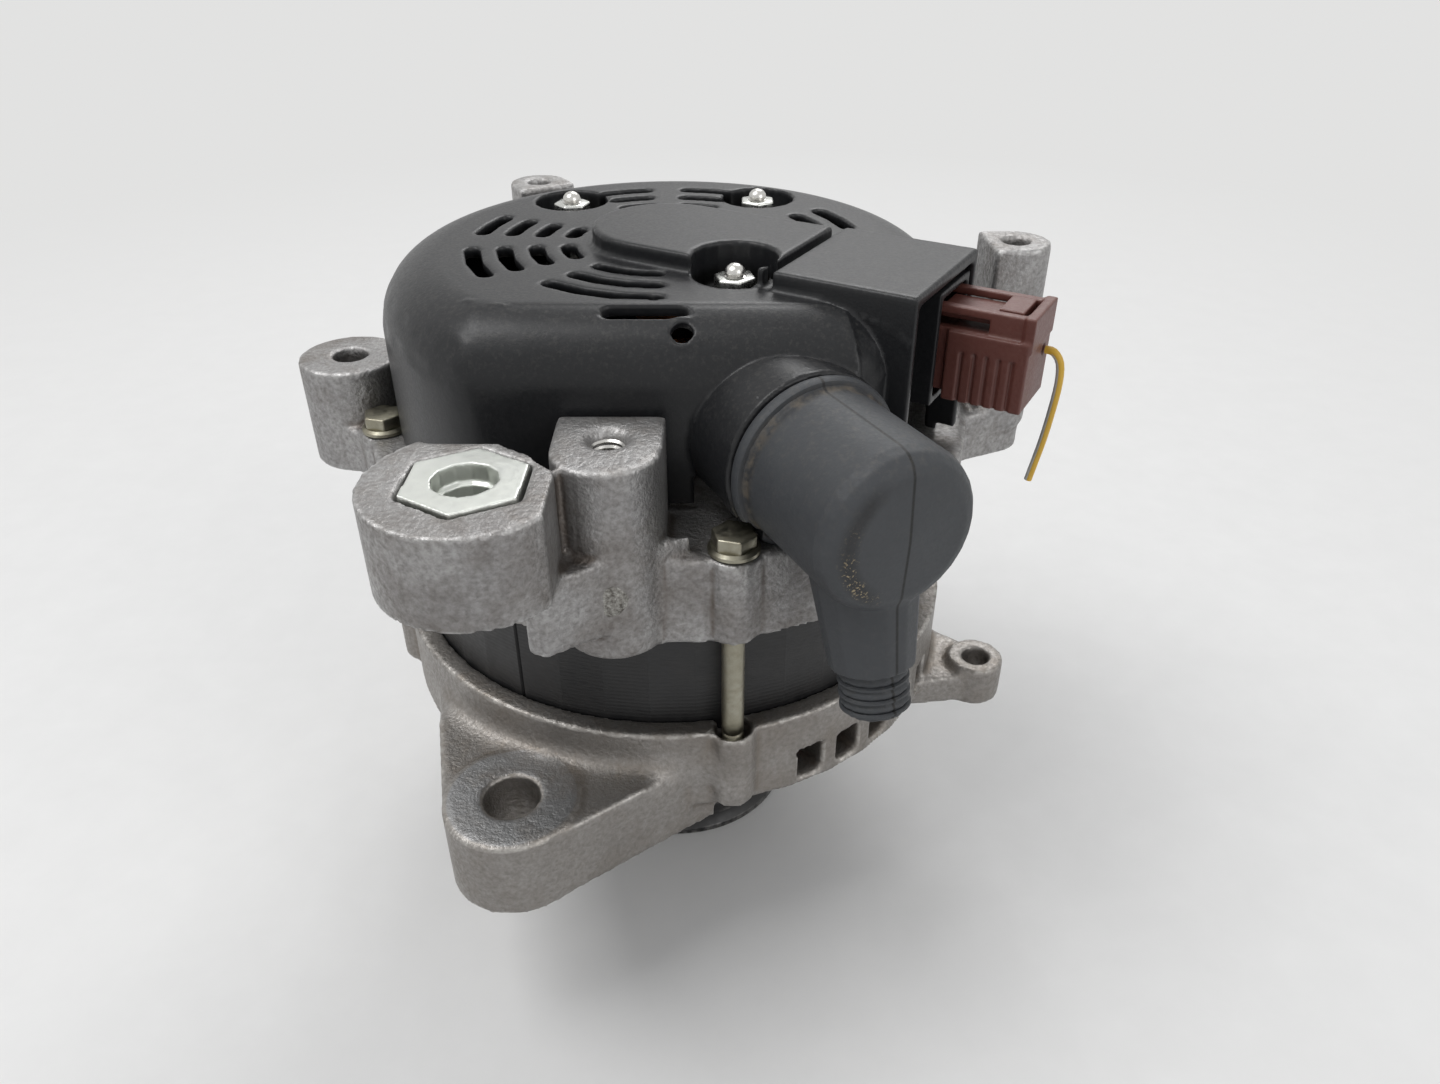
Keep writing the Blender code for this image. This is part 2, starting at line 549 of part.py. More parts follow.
def make_rear_end_frame():
    core_r = STATOR_R + FIT
    wall_z = REAR_Z1 - REAR_WALL_T
    seat_r = REAR_BEARING_R + FIT
    frame = turned("rear_end_frame", [
        (REAR_RING_R, REAR_Z1), (REAR_RING_R, REAR_Z0), (FRAME_WALL_R, REAR_Z0), (FRAME_WALL_R, wall_z),
        (REAR_HUB_R, wall_z), (REAR_HUB_R, wall_z - 2 * MM), (SHAFT_REAR_R + 3 * MM, wall_z - 2 * MM),
        (SHAFT_REAR_R + 3 * MM, REAR_BEARING_Z0 - FIT),
        (seat_r, REAR_BEARING_Z0 - FIT), (seat_r, REAR_BEARING_Z0 + REAR_BEARING_H + FIT),
        (REAR_HUB_R, REAR_BEARING_Z0 + REAR_BEARING_H + FIT), (REAR_HUB_R, REAR_Z1)], CAST)
    # The side towards the boss is flat, and its back corner is cut away.
    lug_side = [(REAR_LUG_SIDE, -10.5 * MM), (REAR_LUG_SIDE, 3 * MM), (9.8 * MM, 9.4 * MM), (3.6 * MM, 14 * MM)]
    lug_round = arc((LUG_X, LUG_Y), REAR_LUG_R, 128, 320, 17)
    lug = prism("rear_lug", [lug_round + [(LUG_X + x, LUG_Y + y) for x, y in lug_side]], REAR_LUG_Z0, REAR_LUG_Z1)
    link = prism("lug_link", [[(LUG_X - 6 * MM, LUG_Y + 14 * MM), (LUG_X, LUG_Y), (BOSS_X, BOSS_Y - 2 * MM),
                               (BOSS_X, BOSS_Y + 8 * MM)]], REAR_LUG_Z0 + 0.5 * MM, LUG_LINK_Z1)
    boss_front = arc((BOSS_X, BOSS_Y), BOSS_R, 180, 360, 13)
    boss = prism("square_boss", [boss_front + [(BOSS_X + BOSS_R, BOSS_BACK_Y), (BOSS_X - BOSS_R, BOSS_BACK_Y)]],
                 REAR_Z1 - 3 * MM, REAR_LUG_Z1 + 0.4 * MM)
    boss_foot = prism("boss_foot", [boss_front + [(BOSS_X + BOSS_R, BOSS_Y + 2 * MM), (BOSS_X - BOSS_R, BOSS_Y + 1 * MM)]],
                      REAR_Z0 + 0.3 * MM, REAR_Z1 - 2 * MM)
    gusset = prism("lug_gusset", [arc((0, 0), REAR_RING_R - 3 * MM, -122, -84, 7)
                                  + [(BOSS_X + 2 * MM, BOSS_Y - BOSS_R + 1 * MM), (LUG_X + 12 * MM, LUG_Y - 6 * MM),
                                     (LUG_X - 10 * MM, LUG_Y + 2 * MM)]], REAR_Z0 + 7 * MM, REAR_LUG_Z0 + 1 * MM)
    left = prism("left_lug", [lug_outline((LEFT_LUG_X, 0), LEFT_LUG_R - 1 * MM, REAR_RING_R - 3 * MM, 163, 197)],
                 LEFT_LUG_Z0 + 1 * MM, REAR_Z1 - 1 * MM)
    left_barrel = cylinder("left_barrel", LEFT_LUG_R, LEFT_LUG_Z0, LEFT_LUG_Z1, (LEFT_LUG_X, 0), sides=24)
    fuse(frame, lug, boss, link, boss_foot, gusset, left, left_barrel)
    posts = (("right_post", RIGHT_POST_ANGLE, RIGHT_POST_Z1), ("back_post", BACK_POST_ANGLE, BACK_POST_Z1))
    for name, turn, top in posts:
        at = polar(REAR_RING_R + POST_REACH, turn)
        web = prism(name + "_web", [lug_outline(at, POST_R - 1 * MM, REAR_RING_R - 3 * MM, turn - 11, turn + 11)],
                    POST_Z0 + 1 * MM, REAR_Z1 - 1 * MM)
        foot_top = POST_Z0 + POST_FOOT_H
        foot = cylinder(name + "_foot", POST_FOOT_R, POST_Z0, foot_top + 0.5 * MM, at, sides=12,
                        top_radius=POST_R - 0.3 * MM)
        # A post is round on its outer side and square towards the cover.
        sides = arc((0, 0), POST_R, -90, 90, 9) + [(-POST_BACK, POST_R), (-POST_BACK, -POST_R)]
        post = spun(prism(name, [sides], foot_top, top), turn)
        post.location = (*at, 0)
        fuse(frame, web, foot, post)
    for i, at in enumerate(bolt_places()):
        boss_r = BOLT_HEAD_R + 0.4 * MM
        fuse(frame, cylinder(f"rear_bolt_boss_{i}", boss_r, REAR_Z0 + 0.2 * MM, REAR_Z1 - 0.2 * MM, at, sides=12))
    for i, at in enumerate(COVER_STUDS):
        fuse(frame, cylinder(f"stud_boss_{i}", STUD_BOSS_R, REAR_Z1 - 3 * MM, REAR_Z1 + STUD_BOSS_RISE, at, sides=12))
    core_room = cylinder("rear_stator_room", core_r, REAR_Z0 - 2 * MM, STATOR_Z1 + FIT, sides=TURN_STEPS)
    vents = [spun(box(f"wall_vent_{a}", (REAR_HUB_R + 4.6 * MM, -5 * MM, wall_z - 1 * MM),
                      (FRAME_WALL_R - 8 * MM, 5 * MM, REAR_Z1 + 1 * MM)), a)
             for a in (-120, -150, 180, 152, 93, 25, 0, -95)]
    holes = [round_hole(f"rear_bolt_hole_{i}", BOLT_R + FIT, REAR_Z0 - 1 * MM, REAR_Z1 + 1 * MM, at)
             for i, at in enumerate(bolt_places())]
    stud_holes = [round_hole(f"stud_hole_{i}", COVER_STUD_R + FIT, wall_z - 1 * MM, REAR_Z1 + 8 * MM, at)
                  for i, at in enumerate(COVER_STUDS)]
    hex_pocket = prism("nut_pocket", [[(LUG_X + x, LUG_Y + y) for x, y in hexagon(NUT_AF + 2 * FIT, 28)]],
                       REAR_LUG_Z1 + 0.3 * MM - NUT_HEAD_H - NUT_TRAVEL - FIT, REAR_LUG_Z1 + 2 * MM)
    cut(frame, core_room, joined("wall_vents", vents), joined("rear_bolt_holes", holes),
        joined("stud_holes", stud_holes), hex_pocket,
        round_hole("nut_bore", NUT_SLEEVE_R + FIT, REAR_LUG_Z0 - 20 * MM, REAR_LUG_Z1, (LUG_X, LUG_Y)),
        round_hole("boss_hole", BOSS_HOLE_R, REAR_LUG_Z1 - 20 * MM, REAR_LUG_Z1 + 2 * MM, (BOSS_X, BOSS_Y + 3.5 * MM)),
        round_hole("left_hole", LEFT_HOLE_R, LEFT_LUG_Z0 - 1 * MM, LEFT_LUG_Z1 + 1 * MM, (LEFT_LUG_X, 0)),
        *[round_hole(name + "_hole", POST_HOLE_R, top - POST_HOLE_DEPTH, top + 1 * MM,
                     polar(REAR_RING_R + POST_REACH, turn)) for name, turn, top in posts])
    return frame


def make_slide_nut():
    """The captive hexagon nut of the rear lug: its sleeve slides in the lug as the mounting bolt is drawn up."""
    top = REAR_LUG_Z1 + 0.3 * MM
    nut = prism("lug_slide_nut", [hexagon(NUT_AF, 28)], top - NUT_HEAD_H, top, STEEL)
    sleeve = cylinder("nut_sleeve", NUT_SLEEVE_R, REAR_LUG_Z0 - 0.5 * MM, top - 1 * MM, sides=36)
    bore = round_hole("nut_thread", LUG_HOLE_R - 1 * MM, REAR_LUG_Z0 - 2 * MM, top + 1 * MM)
    counterbore = round_hole("nut_counterbore", LUG_HOLE_R, top - 4 * MM, top + 1 * MM)
    for piece in (nut, sleeve, bore, counterbore):
        piece.location = (LUG_X, LUG_Y, 0)
    cut(fuse(nut, sleeve), bore, counterbore)


def make_through_bolts():
    for i, (x, y) in enumerate(bolt_places()):
        head = REAR_Z1 + FIT
        bolt = turned(f"through_bolt_{i + 1}", [
            (0, head + 1.2 * MM), (BOLT_HEAD_R, head + 1.2 * MM), (BOLT_HEAD_R, head), (BOLT_R, head),
            (BOLT_R, FRAME_FOOT_Z + 10 * MM), (0, FRAME_FOOT_Z + 10 * MM)], STEEL, closed=False, steps=12)
        bolt.location = (x, y, 0)
        hex_head = prism(f"bolt_head_{i + 1}", [hexagon(BOLT_HEAD_AF, 15)], head + 0.6 * MM, head + BOLT_HEAD_H)
        hex_head.location = (x, y, 0)
        fuse(bolt, hex_head)


# Stator

def make_stator():
    step = 360 / SLOT_COUNT
    outer = []
    for i in range(4):
        notch = -120 + 90 * i
        outer += arc((0, 0), STATOR_R, notch + 0.45, notch + 89.55, 11) + [polar(STATOR_R - 0.7 * MM, notch + 90)]
    inner = []
    for i in range(SLOT_COUNT):
        half = math.degrees(SLOT_W / 2 / STATOR_BORE_R)
        deep = math.degrees(SLOT_W / 2 / (STATOR_BORE_R + SLOT_DEPTH))
        a = i * step
        inner += [polar(STATOR_BORE_R, a - half), polar(STATOR_BORE_R + SLOT_DEPTH, a - deep),
                  polar(STATOR_BORE_R + SLOT_DEPTH, a + deep), polar(STATOR_BORE_R, a + half)]
    prism("stator_core", [outer, inner], STATOR_Z0, STATOR_Z1, BLACK_CORE)
    winding = ring("stator_winding", STATOR_BORE_R + 1.6 * MM, STATOR_BORE_R + SLOT_DEPTH - 0.6 * MM,
                   STATOR_Z1 + 2 * MM, STATOR_Z1 + WINDING_OVERHANG, COPPER, steps=SLOT_COUNT)
    front = ring("front_crown", STATOR_BORE_R + 1.6 * MM, STATOR_BORE_R + SLOT_DEPTH - 0.6 * MM,
                 STATOR_Z0 - WINDING_OVERHANG, STATOR_Z0 - 2 * MM, steps=SLOT_COUNT)
    legs = [spun(box(f"leg_{i}", (STATOR_BORE_R + 2 * MM, -SLOT_W * 0.38, STATOR_Z0 - 3 * MM),
                     (STATOR_BORE_R + SLOT_DEPTH - 1 * MM, SLOT_W * 0.38, STATOR_Z1 + 3 * MM)), i * step)
            for i in range(0, SLOT_COUNT, 3)]
    spun(winding, step / 2)
    spun(front, step / 2)
    fuse(winding, joined("slot_legs", legs), front)


# Rotor

def make_claw_pole(name, disc_z0, reach, turn):
    """One half of the claw-pole rotor: a disc, its core on the shaft and fingers that point one way."""
    outer = STATOR_BORE_R - AIR_GAP
    back, face = (disc_z0, disc_z0 + POLE_DISC_H) if reach > 0 else (disc_z0 + POLE_DISC_H, disc_z0)
    ends = sorted((back, face + reach))
    pole = cylinder(name, outer - CLAW_T - 7 * MM, disc_z0, disc_z0 + POLE_DISC_H, material=CAST_IRON, sides=24)
    middle = (STATOR_Z0 + STATOR_Z1) / 2
    core_ends = sorted((disc_z0 + POLE_DISC_H / 2, middle - math.copysign(FIT / 2, reach)))
    fuse(pole, cylinder(name + "_core", POLE_CORE_R, core_ends[0], core_ends[1], sides=24))
    for i in range(POLE_PAIRS):
        arm = box(f"{name}_arm_{i}", (POLE_CORE_R + 2.5 * MM, -(CLAW_HALF_W - 1 * MM), disc_z0 + 0.4 * MM),
                  (outer - 2 * MM, (CLAW_HALF_W - 1 * MM), disc_z0 + POLE_DISC_H - 0.4 * MM))
        claw = box(f"{name}_claw_{i}", (outer - CLAW_T, -CLAW_HALF_W, ends[0]), (outer - 1.2 * MM, CLAW_HALF_W, ends[1]))
        tip_z = ends[1] if reach > 0 else ends[0]
        for vertex in claw.data.vertices:
            if abs(vertex.co.z - tip_z) < 1e-6:
                vertex.co.y *= 0.4
                vertex.co.x = max(vertex.co.x, outer - CLAW_T + 2.5 * MM)
        spun(arm, turn + 60 * i)
        spun(claw, turn + 60 * i)
        fuse(pole, arm, claw)
    cut(pole, cylinder(name + "_bore", SHAFT_R + FIT, disc_z0 - 30 * MM, disc_z0 + 40 * MM, sides=20))


def make_fan(name, disc_z0, blade_z0, turn):
    disc = ring(name, SHAFT_R + 5 * MM, FAN_R * 0.82, disc_z0, disc_z0 + 1.4 * MM, STEEL, steps=24)
    for i in range(FAN_BLADES):
        blade = box(f"{name}_blade_{i}", (0, -0.6 * MM, blade_z0),
                    (16 * MM, 0.6 * MM, blade_z0 + BLADE_H + 0.6 * MM))
        angle = turn + 360 * i / FAN_BLADES
        blade.location = (*polar(FAN_R * 0.66, angle), 0)
        spun(blade, angle + 38)
        fuse(disc, blade)


def make_rotor():
    turned("rotor_shaft", [
        (0, SHAFT_Z1), (SHAFT_TIP_R, SHAFT_Z1), (SHAFT_TIP_R, REAR_BEARING_Z0 + REAR_BEARING_H + 2 * MM),
        (SHAFT_REAR_R, REAR_BEARING_Z0 + REAR_BEARING_H + 2 * MM), (SHAFT_REAR_R, REAR_BEARING_Z0 - 4 * MM),
        (SHAFT_R, REAR_BEARING_Z0 - 4 * MM), (SHAFT_R, SHAFT_Z0), (0, SHAFT_Z0)], STEEL, closed=False, steps=20)
    reach = STATOR_Z1 - STATOR_Z0 - 6 * MM
    front_z, rear_z = STATOR_Z0 - 4 * MM, STATOR_Z1 - 6 * MM
    make_claw_pole("front_claw_pole", front_z, reach - 2 * MM, 0)
    make_claw_pole("rear_claw_pole", rear_z, 2 * MM - reach, 30)
    ring("field_coil", POLE_CORE_R + FIT, STATOR_BORE_R - AIR_GAP - CLAW_T - 2 * MM, front_z + POLE_DISC_H + FIT,
         rear_z - FIT, COPPER, steps=24)
    make_fan("front_fan", front_z - FIT - 1.4 * MM, front_z - FIT - 1.8 * MM - BLADE_H, 0)
    make_fan("rear_fan", rear_z + POLE_DISC_H + FIT, rear_z + POLE_DISC_H + FIT + 1 * MM, 20)
    make_slip_rings()
    make_pulley()


def make_slip_rings():
    base = SHAFT_TIP_R + FIT
    z0 = REAR_BEARING_Z0 + REAR_BEARING_H + 3 * MM
    ring("slip_ring_sleeve", base, SLIP_RING_R - 1.6 * MM, z0, SHAFT_Z1 - 0.5 * MM, BLACK_PLASTIC, steps=20)
    for name, z in zip(("slip_ring_inner", "slip_ring_outer"), SLIP_RING_Z):
        ring(name, SLIP_RING_R - 1.6 * MM + FIT, SLIP_RING_R, z - SLIP_RING_H / 2, z + SLIP_RING_H / 2, COPPER,
             steps=24)


def make_pulley():
    """A ribbed belt pulley with a recess for its nut in the front face."""
    band = RIB_COUNT * RIB_PITCH
    band_z0 = RIB_MARGIN
    outer = [(PULLEY_R, PULLEY_H), (PULLEY_R, band_z0 + band)]
    for i in range(RIB_COUNT):
        top = band_z0 + band - i * RIB_PITCH
        outer += [(PULLEY_R - RIB_DEPTH, top - RIB_PITCH / 2), (PULLEY_R - 0.4 * MM, top - RIB_PITCH)]
    outer += [(PULLEY_R, band_z0 - 0.8 * MM), (PULLEY_R, 0.8 * MM), (PULLEY_R - 0.8 * MM, 0)]
    recess = [(PULLEY_RECESS_R, 0), (PULLEY_RECESS_R, PULLEY_RECESS_H), (SHAFT_R + FIT, PULLEY_RECESS_H),
              (SHAFT_R + FIT, PULLEY_H)]
    turned("pulley", outer + recess, PULLEY_BLACK, steps=20)
    nut_z1 = PULLEY_RECESS_H - FIT
    nut = prism("pulley_nut", [hexagon(PULLEY_NUT_AF)], nut_z1 - PULLEY_NUT_H, nut_z1, STEEL)
    cut(nut, cylinder("pulley_nut_bore", SHAFT_R + FIT, 0, PULLEY_H))
    ring("pulley_spacer", SHAFT_R + FIT, SHAFT_R + 4 * MM, PULLEY_H + FIT, FRONT_BEARING_Z0 - FIT, STEEL, steps=20)


# Bearings

def make_bearing(prefix, bore_r, outer_r, z0, height, balls):
    """Outer race, inner race, and the balls held in one cage."""
    gap = (outer_r - bore_r) / 3
    ring(prefix + "_outer_race", outer_r - gap * 0.85, outer_r, z0, z0 + height, STEEL, steps=24)
    ring(prefix + "_inner_race", bore_r, bore_r + gap * 0.85, z0, z0 + height, STEEL, steps=20)
    middle, radius = (outer_r + bore_r) / 2, gap * 0.62
    cage = ring(prefix + "_ball_cage", middle - gap * 0.3, middle + gap * 0.3, z0 + height * 0.42, z0 + height * 0.58,
                STEEL, steps=20)
    for i in range(balls):
        def fill(shape, turn=360 * i / balls):
            bmesh.ops.create_uvsphere(shape, u_segments=6, v_segments=3, radius=radius,
                                      matrix=Matrix.Translation((*polar(middle, turn), z0 + height / 2)))
        fuse(cage, place(f"{prefix}_ball_{i}", mesh_of(f"{prefix}_ball_{i}", fill)))


# Rectifier

def sector(name, inner, outer, start, end, z0, z1, material=None):
    outline = arc((0, 0), outer, start, end, 15) + arc((0, 0), inner, end, start, 11)
    return prism(name, [outline], z0, z1, material)


def make_rectifier():
    inner = REAR_HUB_R + FIT + 4 * MM
    outer = COVER_R - COVER_T - 3 * MM
    low = REAR_Z1 + STUD_BOSS_RISE + FIT
    lower = sector("rectifier_negative_plate", inner, outer - 4 * MM, RECTIFIER_FROM, RECTIFIER_TO, low, low + 3 * MM,
                   CAST)
    block_z0, block_z1 = low + 3 * MM + FIT, low + 14 * MM
    block = sector("rectifier_terminal_block", inner + 3 * MM, outer - 6 * MM, RECTIFIER_FROM + 4, RECTIFIER_TO - 4,
                   block_z0, block_z1, BLACK_PLASTIC)
    upper = sector("rectifier_positive_plate", inner, outer - 8 * MM, RECTIFIER_FROM, RECTIFIER_TO,
                   block_z1 + FIT, block_z1 + 3 * MM, CAST)
    fuse(upper, sector("positive_arm", inner + 1 * MM, DIODE_CIRCLE_R, RECTIFIER_TO - 5, 360 + TERMINAL_ANGLE,
                       block_z1 + 0.5 * MM, block_z1 + 2.8 * MM))
    # Diode cans are pressed into the plates.
    for i in range(3):
        turn = 80 + 60 * i
        fuse(upper, cylinder(f"diode_can_{i}", DIODE_R, block_z1 + 1 * MM, block_z1 + 7 * MM,
                             polar(DIODE_CIRCLE_R, turn), sides=12))
    tab_x1 = COLLAR_X - COLLAR_T - FIT
    tab = box("terminal_tab", (tab_x1 - TAB_T, -TAB_HALF_W, -7 * MM), (tab_x1, TAB_HALF_W, block_z1 + 2.2 * MM - TERMINAL_Z),
              frame=TERMINAL)
    bridge = box("tab_bridge", (DIODE_CIRCLE_R - 10 * MM, -7 * MM, block_z1 + 0.8 * MM - TERMINAL_Z),
                 (tab_x1 - 0.2 * MM, 7 * MM, block_z1 + 2.6 * MM - TERMINAL_Z), frame=TERMINAL)
    tab_hole = cylinder("tab_hole", TERMINAL_STUD_R + FIT, tab_x1 - 7.6 * MM, tab_x1 + 4.4 * MM, frame=TERMINAL)
    tab_hole.rotation_euler.y = math.pi / 2
    fuse(upper, bridge, tab)
    for i, plate in enumerate((lower, block, upper)):
        holes = [round_hole(f"rectifier_hole_{i}_{k}", COVER_STUD_R + FIT, low - 1 * MM, block_z1 + 9 * MM, at)
                 for k, at in enumerate(COVER_STUDS[1:])]
        cut(plate, joined(f"rectifier_holes_{i}", holes))
    cut(upper, tab_hole)


# Rear cover

def dome(name, radius, z0, z1, edge, material=None):
    rounding = [(radius - edge + edge * math.cos(a), z1 - edge + edge * math.sin(a))
                for a in [math.radians(90 - 22.5 * i) for i in range(5)]]
    return turned(name, [(0, z1)] + rounding + [(radius, z0), (0, z0)], material, closed=False)


def vent_slot(name, radius, start, end, half):
    """A slot along an arc, with round ends."""
    first, last = (start + half_turn(half, radius)), (end - half_turn(half, radius))
    count = max(3, int(abs(last - first) / 14) + 2)
    outline = arc((0, 0), radius + half, first, last, count)
    outline += arc(polar(radius, last), half, last, last + 180, 4)[1:-1]
    outline += arc((0, 0), radius - half, last, first, count)
    outline += arc(polar(radius, first), half, first + 180, first + 360, 4)[1:-1]
    return prism(name, [outline], COVER_Z1 - 12 * MM, COVER_Z1 + 8 * MM)


def half_turn(length, radius):
    return math.degrees(length / radius)


def front_of_cover(name, wall):
    """All that lies before the cover's flat side and its round shoulder, or before a line one wall further in."""
    wide = 2 * COVER_R
    low, high = COVER_Z0 - 9 * MM, COVER_Z1 + 9 * MM
    shoulder = arc((COVER_FLAT_Y + COVER_EDGE_R, COVER_Z1 - COVER_EDGE_R), COVER_EDGE_R - wall, 180, 100, 4)
    outline = [(-wide, low), (COVER_FLAT_Y + wall, low)] + shoulder + [(shoulder[-1][0], high), (-wide, high)]
    cutter = prism(name, [outline], -wide, wide)
    cutter.rotation_euler = (math.pi / 2, 0, math.pi / 2)
    return cutter


def make_rear_cover():
    cover = dome("rear_cover", COVER_R, COVER_Z0, COVER_Z1, COVER_EDGE_R, BLACK_PLASTIC)
    wide = 2 * COVER_R
    cut(cover, front_of_cover("cover_front", 0))
    top = COVER_Z1 + PLATFORM_RISE
    stadium = [(HOOD_GAP_AT, PLATFORM_R)] + arc((0, 0), PLATFORM_R, 90, 270, 15) + [(HOOD_GAP_AT, -PLATFORM_R)]
    platform = prism("platform", [stadium], COVER_Z1 - 6 * MM, top, frame=HOOD)
    hood = box("hood", (HOOD_GAP_AT + HOOD_GAP_W, HOOD_Y0, COVER_Z0 + 2 * MM), (HOOD_END, HOOD_Y1, top), frame=HOOD)
    nest = cylinder("terminal_nest", NEST_R, NEST_END - 29 * MM, NEST_END, frame=TERMINAL, sides=20)
    nest_room = cylinder("nest_room", NEST_R - COVER_T, NEST_END - 39 * MM, NEST_END - COVER_T, frame=TERMINAL, sides=20)
    nest_hole = cylinder("nest_hole", INSULATOR_R + FIT, NEST_END - 39 * MM, NEST_END + 2 * MM, frame=TERMINAL, sides=20)
    for piece in (nest, nest_room, nest_hole):
        piece.rotation_euler.y = math.pi / 2
    skirt = box("below_cover", (-wide, -wide, COVER_Z0 - 30 * MM), (wide, wide, COVER_Z0 + 0.4 * MM))
    boot_space = cylinder("boot_space", BOOT_R + BOOT_LIP + 2 * FIT, NEST_END + 0.1 * MM, BOOT_END, frame=TERMINAL, sides=24)
    boot_space.rotation_euler.y = math.pi / 2
    cut(fuse(cover, platform, nest), skirt, boot_space)
    fuse(cover, hood)
    room = dome("cover_room", COVER_R - COVER_T, COVER_Z0 - 4 * MM, COVER_Z1 - COVER_T, COVER_EDGE_R - COVER_T)
    cut(room, front_of_cover("room_front", COVER_T))
    hood_room = box("hood_room", (HOOD_GAP_AT + HOOD_GAP_W + COVER_T, HOOD_Y0 + HOOD_WALL, COVER_Z0 - 4 * MM),
                    (HOOD_END + 2 * MM, HOOD_Y1 - HOOD_WALL, top - COVER_T), frame=HOOD)
    platform_room = cylinder("platform_room", PLATFORM_R - COVER_T, COVER_Z1 - 8 * MM, top - COVER_T)
    cut(cover, room, hood_room, platform_room, nest_room, nest_hole)
    cups = [cylinder(f"cup_{i}", RECESS_R + 2 * MM, RECESS_Z - COVER_T, COVER_Z1 - 1 * MM, at, sides=16)
            for i, at in enumerate(COVER_STUDS)]
    fuse(cover, *cups)
    recesses = [cylinder(f"recess_{i}", RECESS_R, RECESS_Z, COVER_Z1 + 8 * MM, at, sides=16)
                for i, at in enumerate(COVER_STUDS)]
    stud_holes = [round_hole(f"cover_hole_{i}", COVER_STUD_R + FIT, RECESS_Z - 6 * MM, RECESS_Z + 1 * MM, at)
                  for i, at in enumerate(COVER_STUDS)]
    slots = [vent_slot(f"vent_{start}_{row}", VENT_FIRST_R + VENT_STEP * row, start, end, VENT_W / 2)
             for start, end, first, last in VENT_GROUPS for row in range(round(first), round(last) + 1)]
    slot_y = COVER_FLAT_Y + FRONT_VENT_INSET
    slot_ends = arc((-9 * MM, slot_y), VENT_W / 2, 90, 270, 7) + arc((4 * MM, slot_y), VENT_W / 2, 270, 450, 7)
    slots.append(prism("vent_front", [slot_ends], COVER_Z1 - 12 * MM, COVER_Z1 + 8 * MM))
    drain = round_hole("drain_hole", DRAIN_R, COVER_Z1 - 14 * MM, COVER_Z1 + 8 * MM, (DRAIN_X, COVER_FLAT_Y + DRAIN_INSET))
    bolt_notch = box("bolt_notch", (bolt_places()[0][0] - 8 * MM, COVER_FLAT_Y - 9 * MM, COVER_Z0 - 3 * MM),
                     (bolt_places()[0][0] + 4 * MM, COVER_FLAT_Y + 6 * MM, COVER_Z0 + 7 * MM))
    bolt_rooms = [cylinder(f"bolt_room_{i}", BOLT_HEAD_R + BOLT_GAP, COVER_Z0 - 5 * MM, COVER_Z0 + 5 * MM, at, sides=16)
                  for i, at in enumerate(bolt_places())]
    cut(cover, joined("bolt_rooms", bolt_rooms), joined("recess_cuts", recesses), joined("cover_holes", stud_holes),
        joined("vent_cuts", slots), drain, bolt_notch)
    for i, (x, y) in enumerate(COVER_STUDS):
        make_cover_fastener(i + 1, x, y)


def make_cover_fastener(number, x, y):
    tip = COVER_STUD_Z1
    stud = turned(f"cover_stud_{number}", [
        (0, tip), (1.1 * MM, tip - 0.2 * MM), (1.9 * MM, tip - 1.2 * MM), (1.9 * MM, tip - 2.6 * MM),
        (COVER_STUD_R, tip - 3.2 * MM), (COVER_STUD_R, REAR_Z1 - REAR_WALL_T), (0, REAR_Z1 - REAR_WALL_T)],
        STEEL, closed=False, steps=12)
    nut = prism(f"cover_nut_{number}", [hexagon(COVER_NUT_AF)], RECESS_Z + FIT, RECESS_Z + FIT + COVER_NUT_H, STEEL)
    flange = cylinder(f"nut_flange_{number}", 5.2 * MM, RECESS_Z + FIT, RECESS_Z + FIT + 1 * MM, sides=14)
    bore = round_hole(f"nut_bore_{number}", COVER_STUD_R + FIT, RECESS_Z - 1 * MM, RECESS_Z + 9 * MM)
    for piece in (stud, nut, flange, bore):
        piece.location = (x, y, 0)
    cut(fuse(nut, flange), bore)


# Output terminal and its rubber boot, turned about the terminal's own axis

def along_terminal(obj):
    obj.rotation_euler.y = math.pi / 2
    return obj


def make_terminal():
    tip = NEST_END + 25 * MM
    along_terminal(turned("b_terminal_stud", [
        (0, tip), (TERMINAL_STUD_R, tip - 1 * MM), (TERMINAL_STUD_R, COLLAR_X), (TERMINAL_STUD_R + 2.6 * MM, COLLAR_X),
        (TERMINAL_STUD_R + 2.6 * MM, COLLAR_X - COLLAR_T), (TERMINAL_STUD_R, COLLAR_X - COLLAR_T),
        (TERMINAL_STUD_R, COLLAR_X - COLLAR_T - TAB_T - 0.7 * MM), (0, COLLAR_X - COLLAR_T - TAB_T - 0.7 * MM)],
        STEEL, TERMINAL, closed=False, steps=14))
    along_terminal(turned("b_terminal_insulator", [
        (INSULATOR_R, NEST_END + 1.5 * MM), (INSULATOR_R, COLLAR_X + FIT), (TERMINAL_STUD_R + FIT, COLLAR_X + FIT),
        (TERMINAL_STUD_R + FIT, NEST_END + 1.5 * MM)], BLACK_PLASTIC, TERMINAL, steps=20))
    nut = along_terminal(prism("b_terminal_nut", [hexagon(TERMINAL_NUT_AF)], NEST_END + 2 * MM, NEST_END + 8.5 * MM,
                               STEEL, TERMINAL))
    bore = cylinder("terminal_nut_bore", TERMINAL_STUD_R + FIT, NEST_END, NEST_END + 12 * MM, frame=TERMINAL)
    cut(nut, along_terminal(bore))


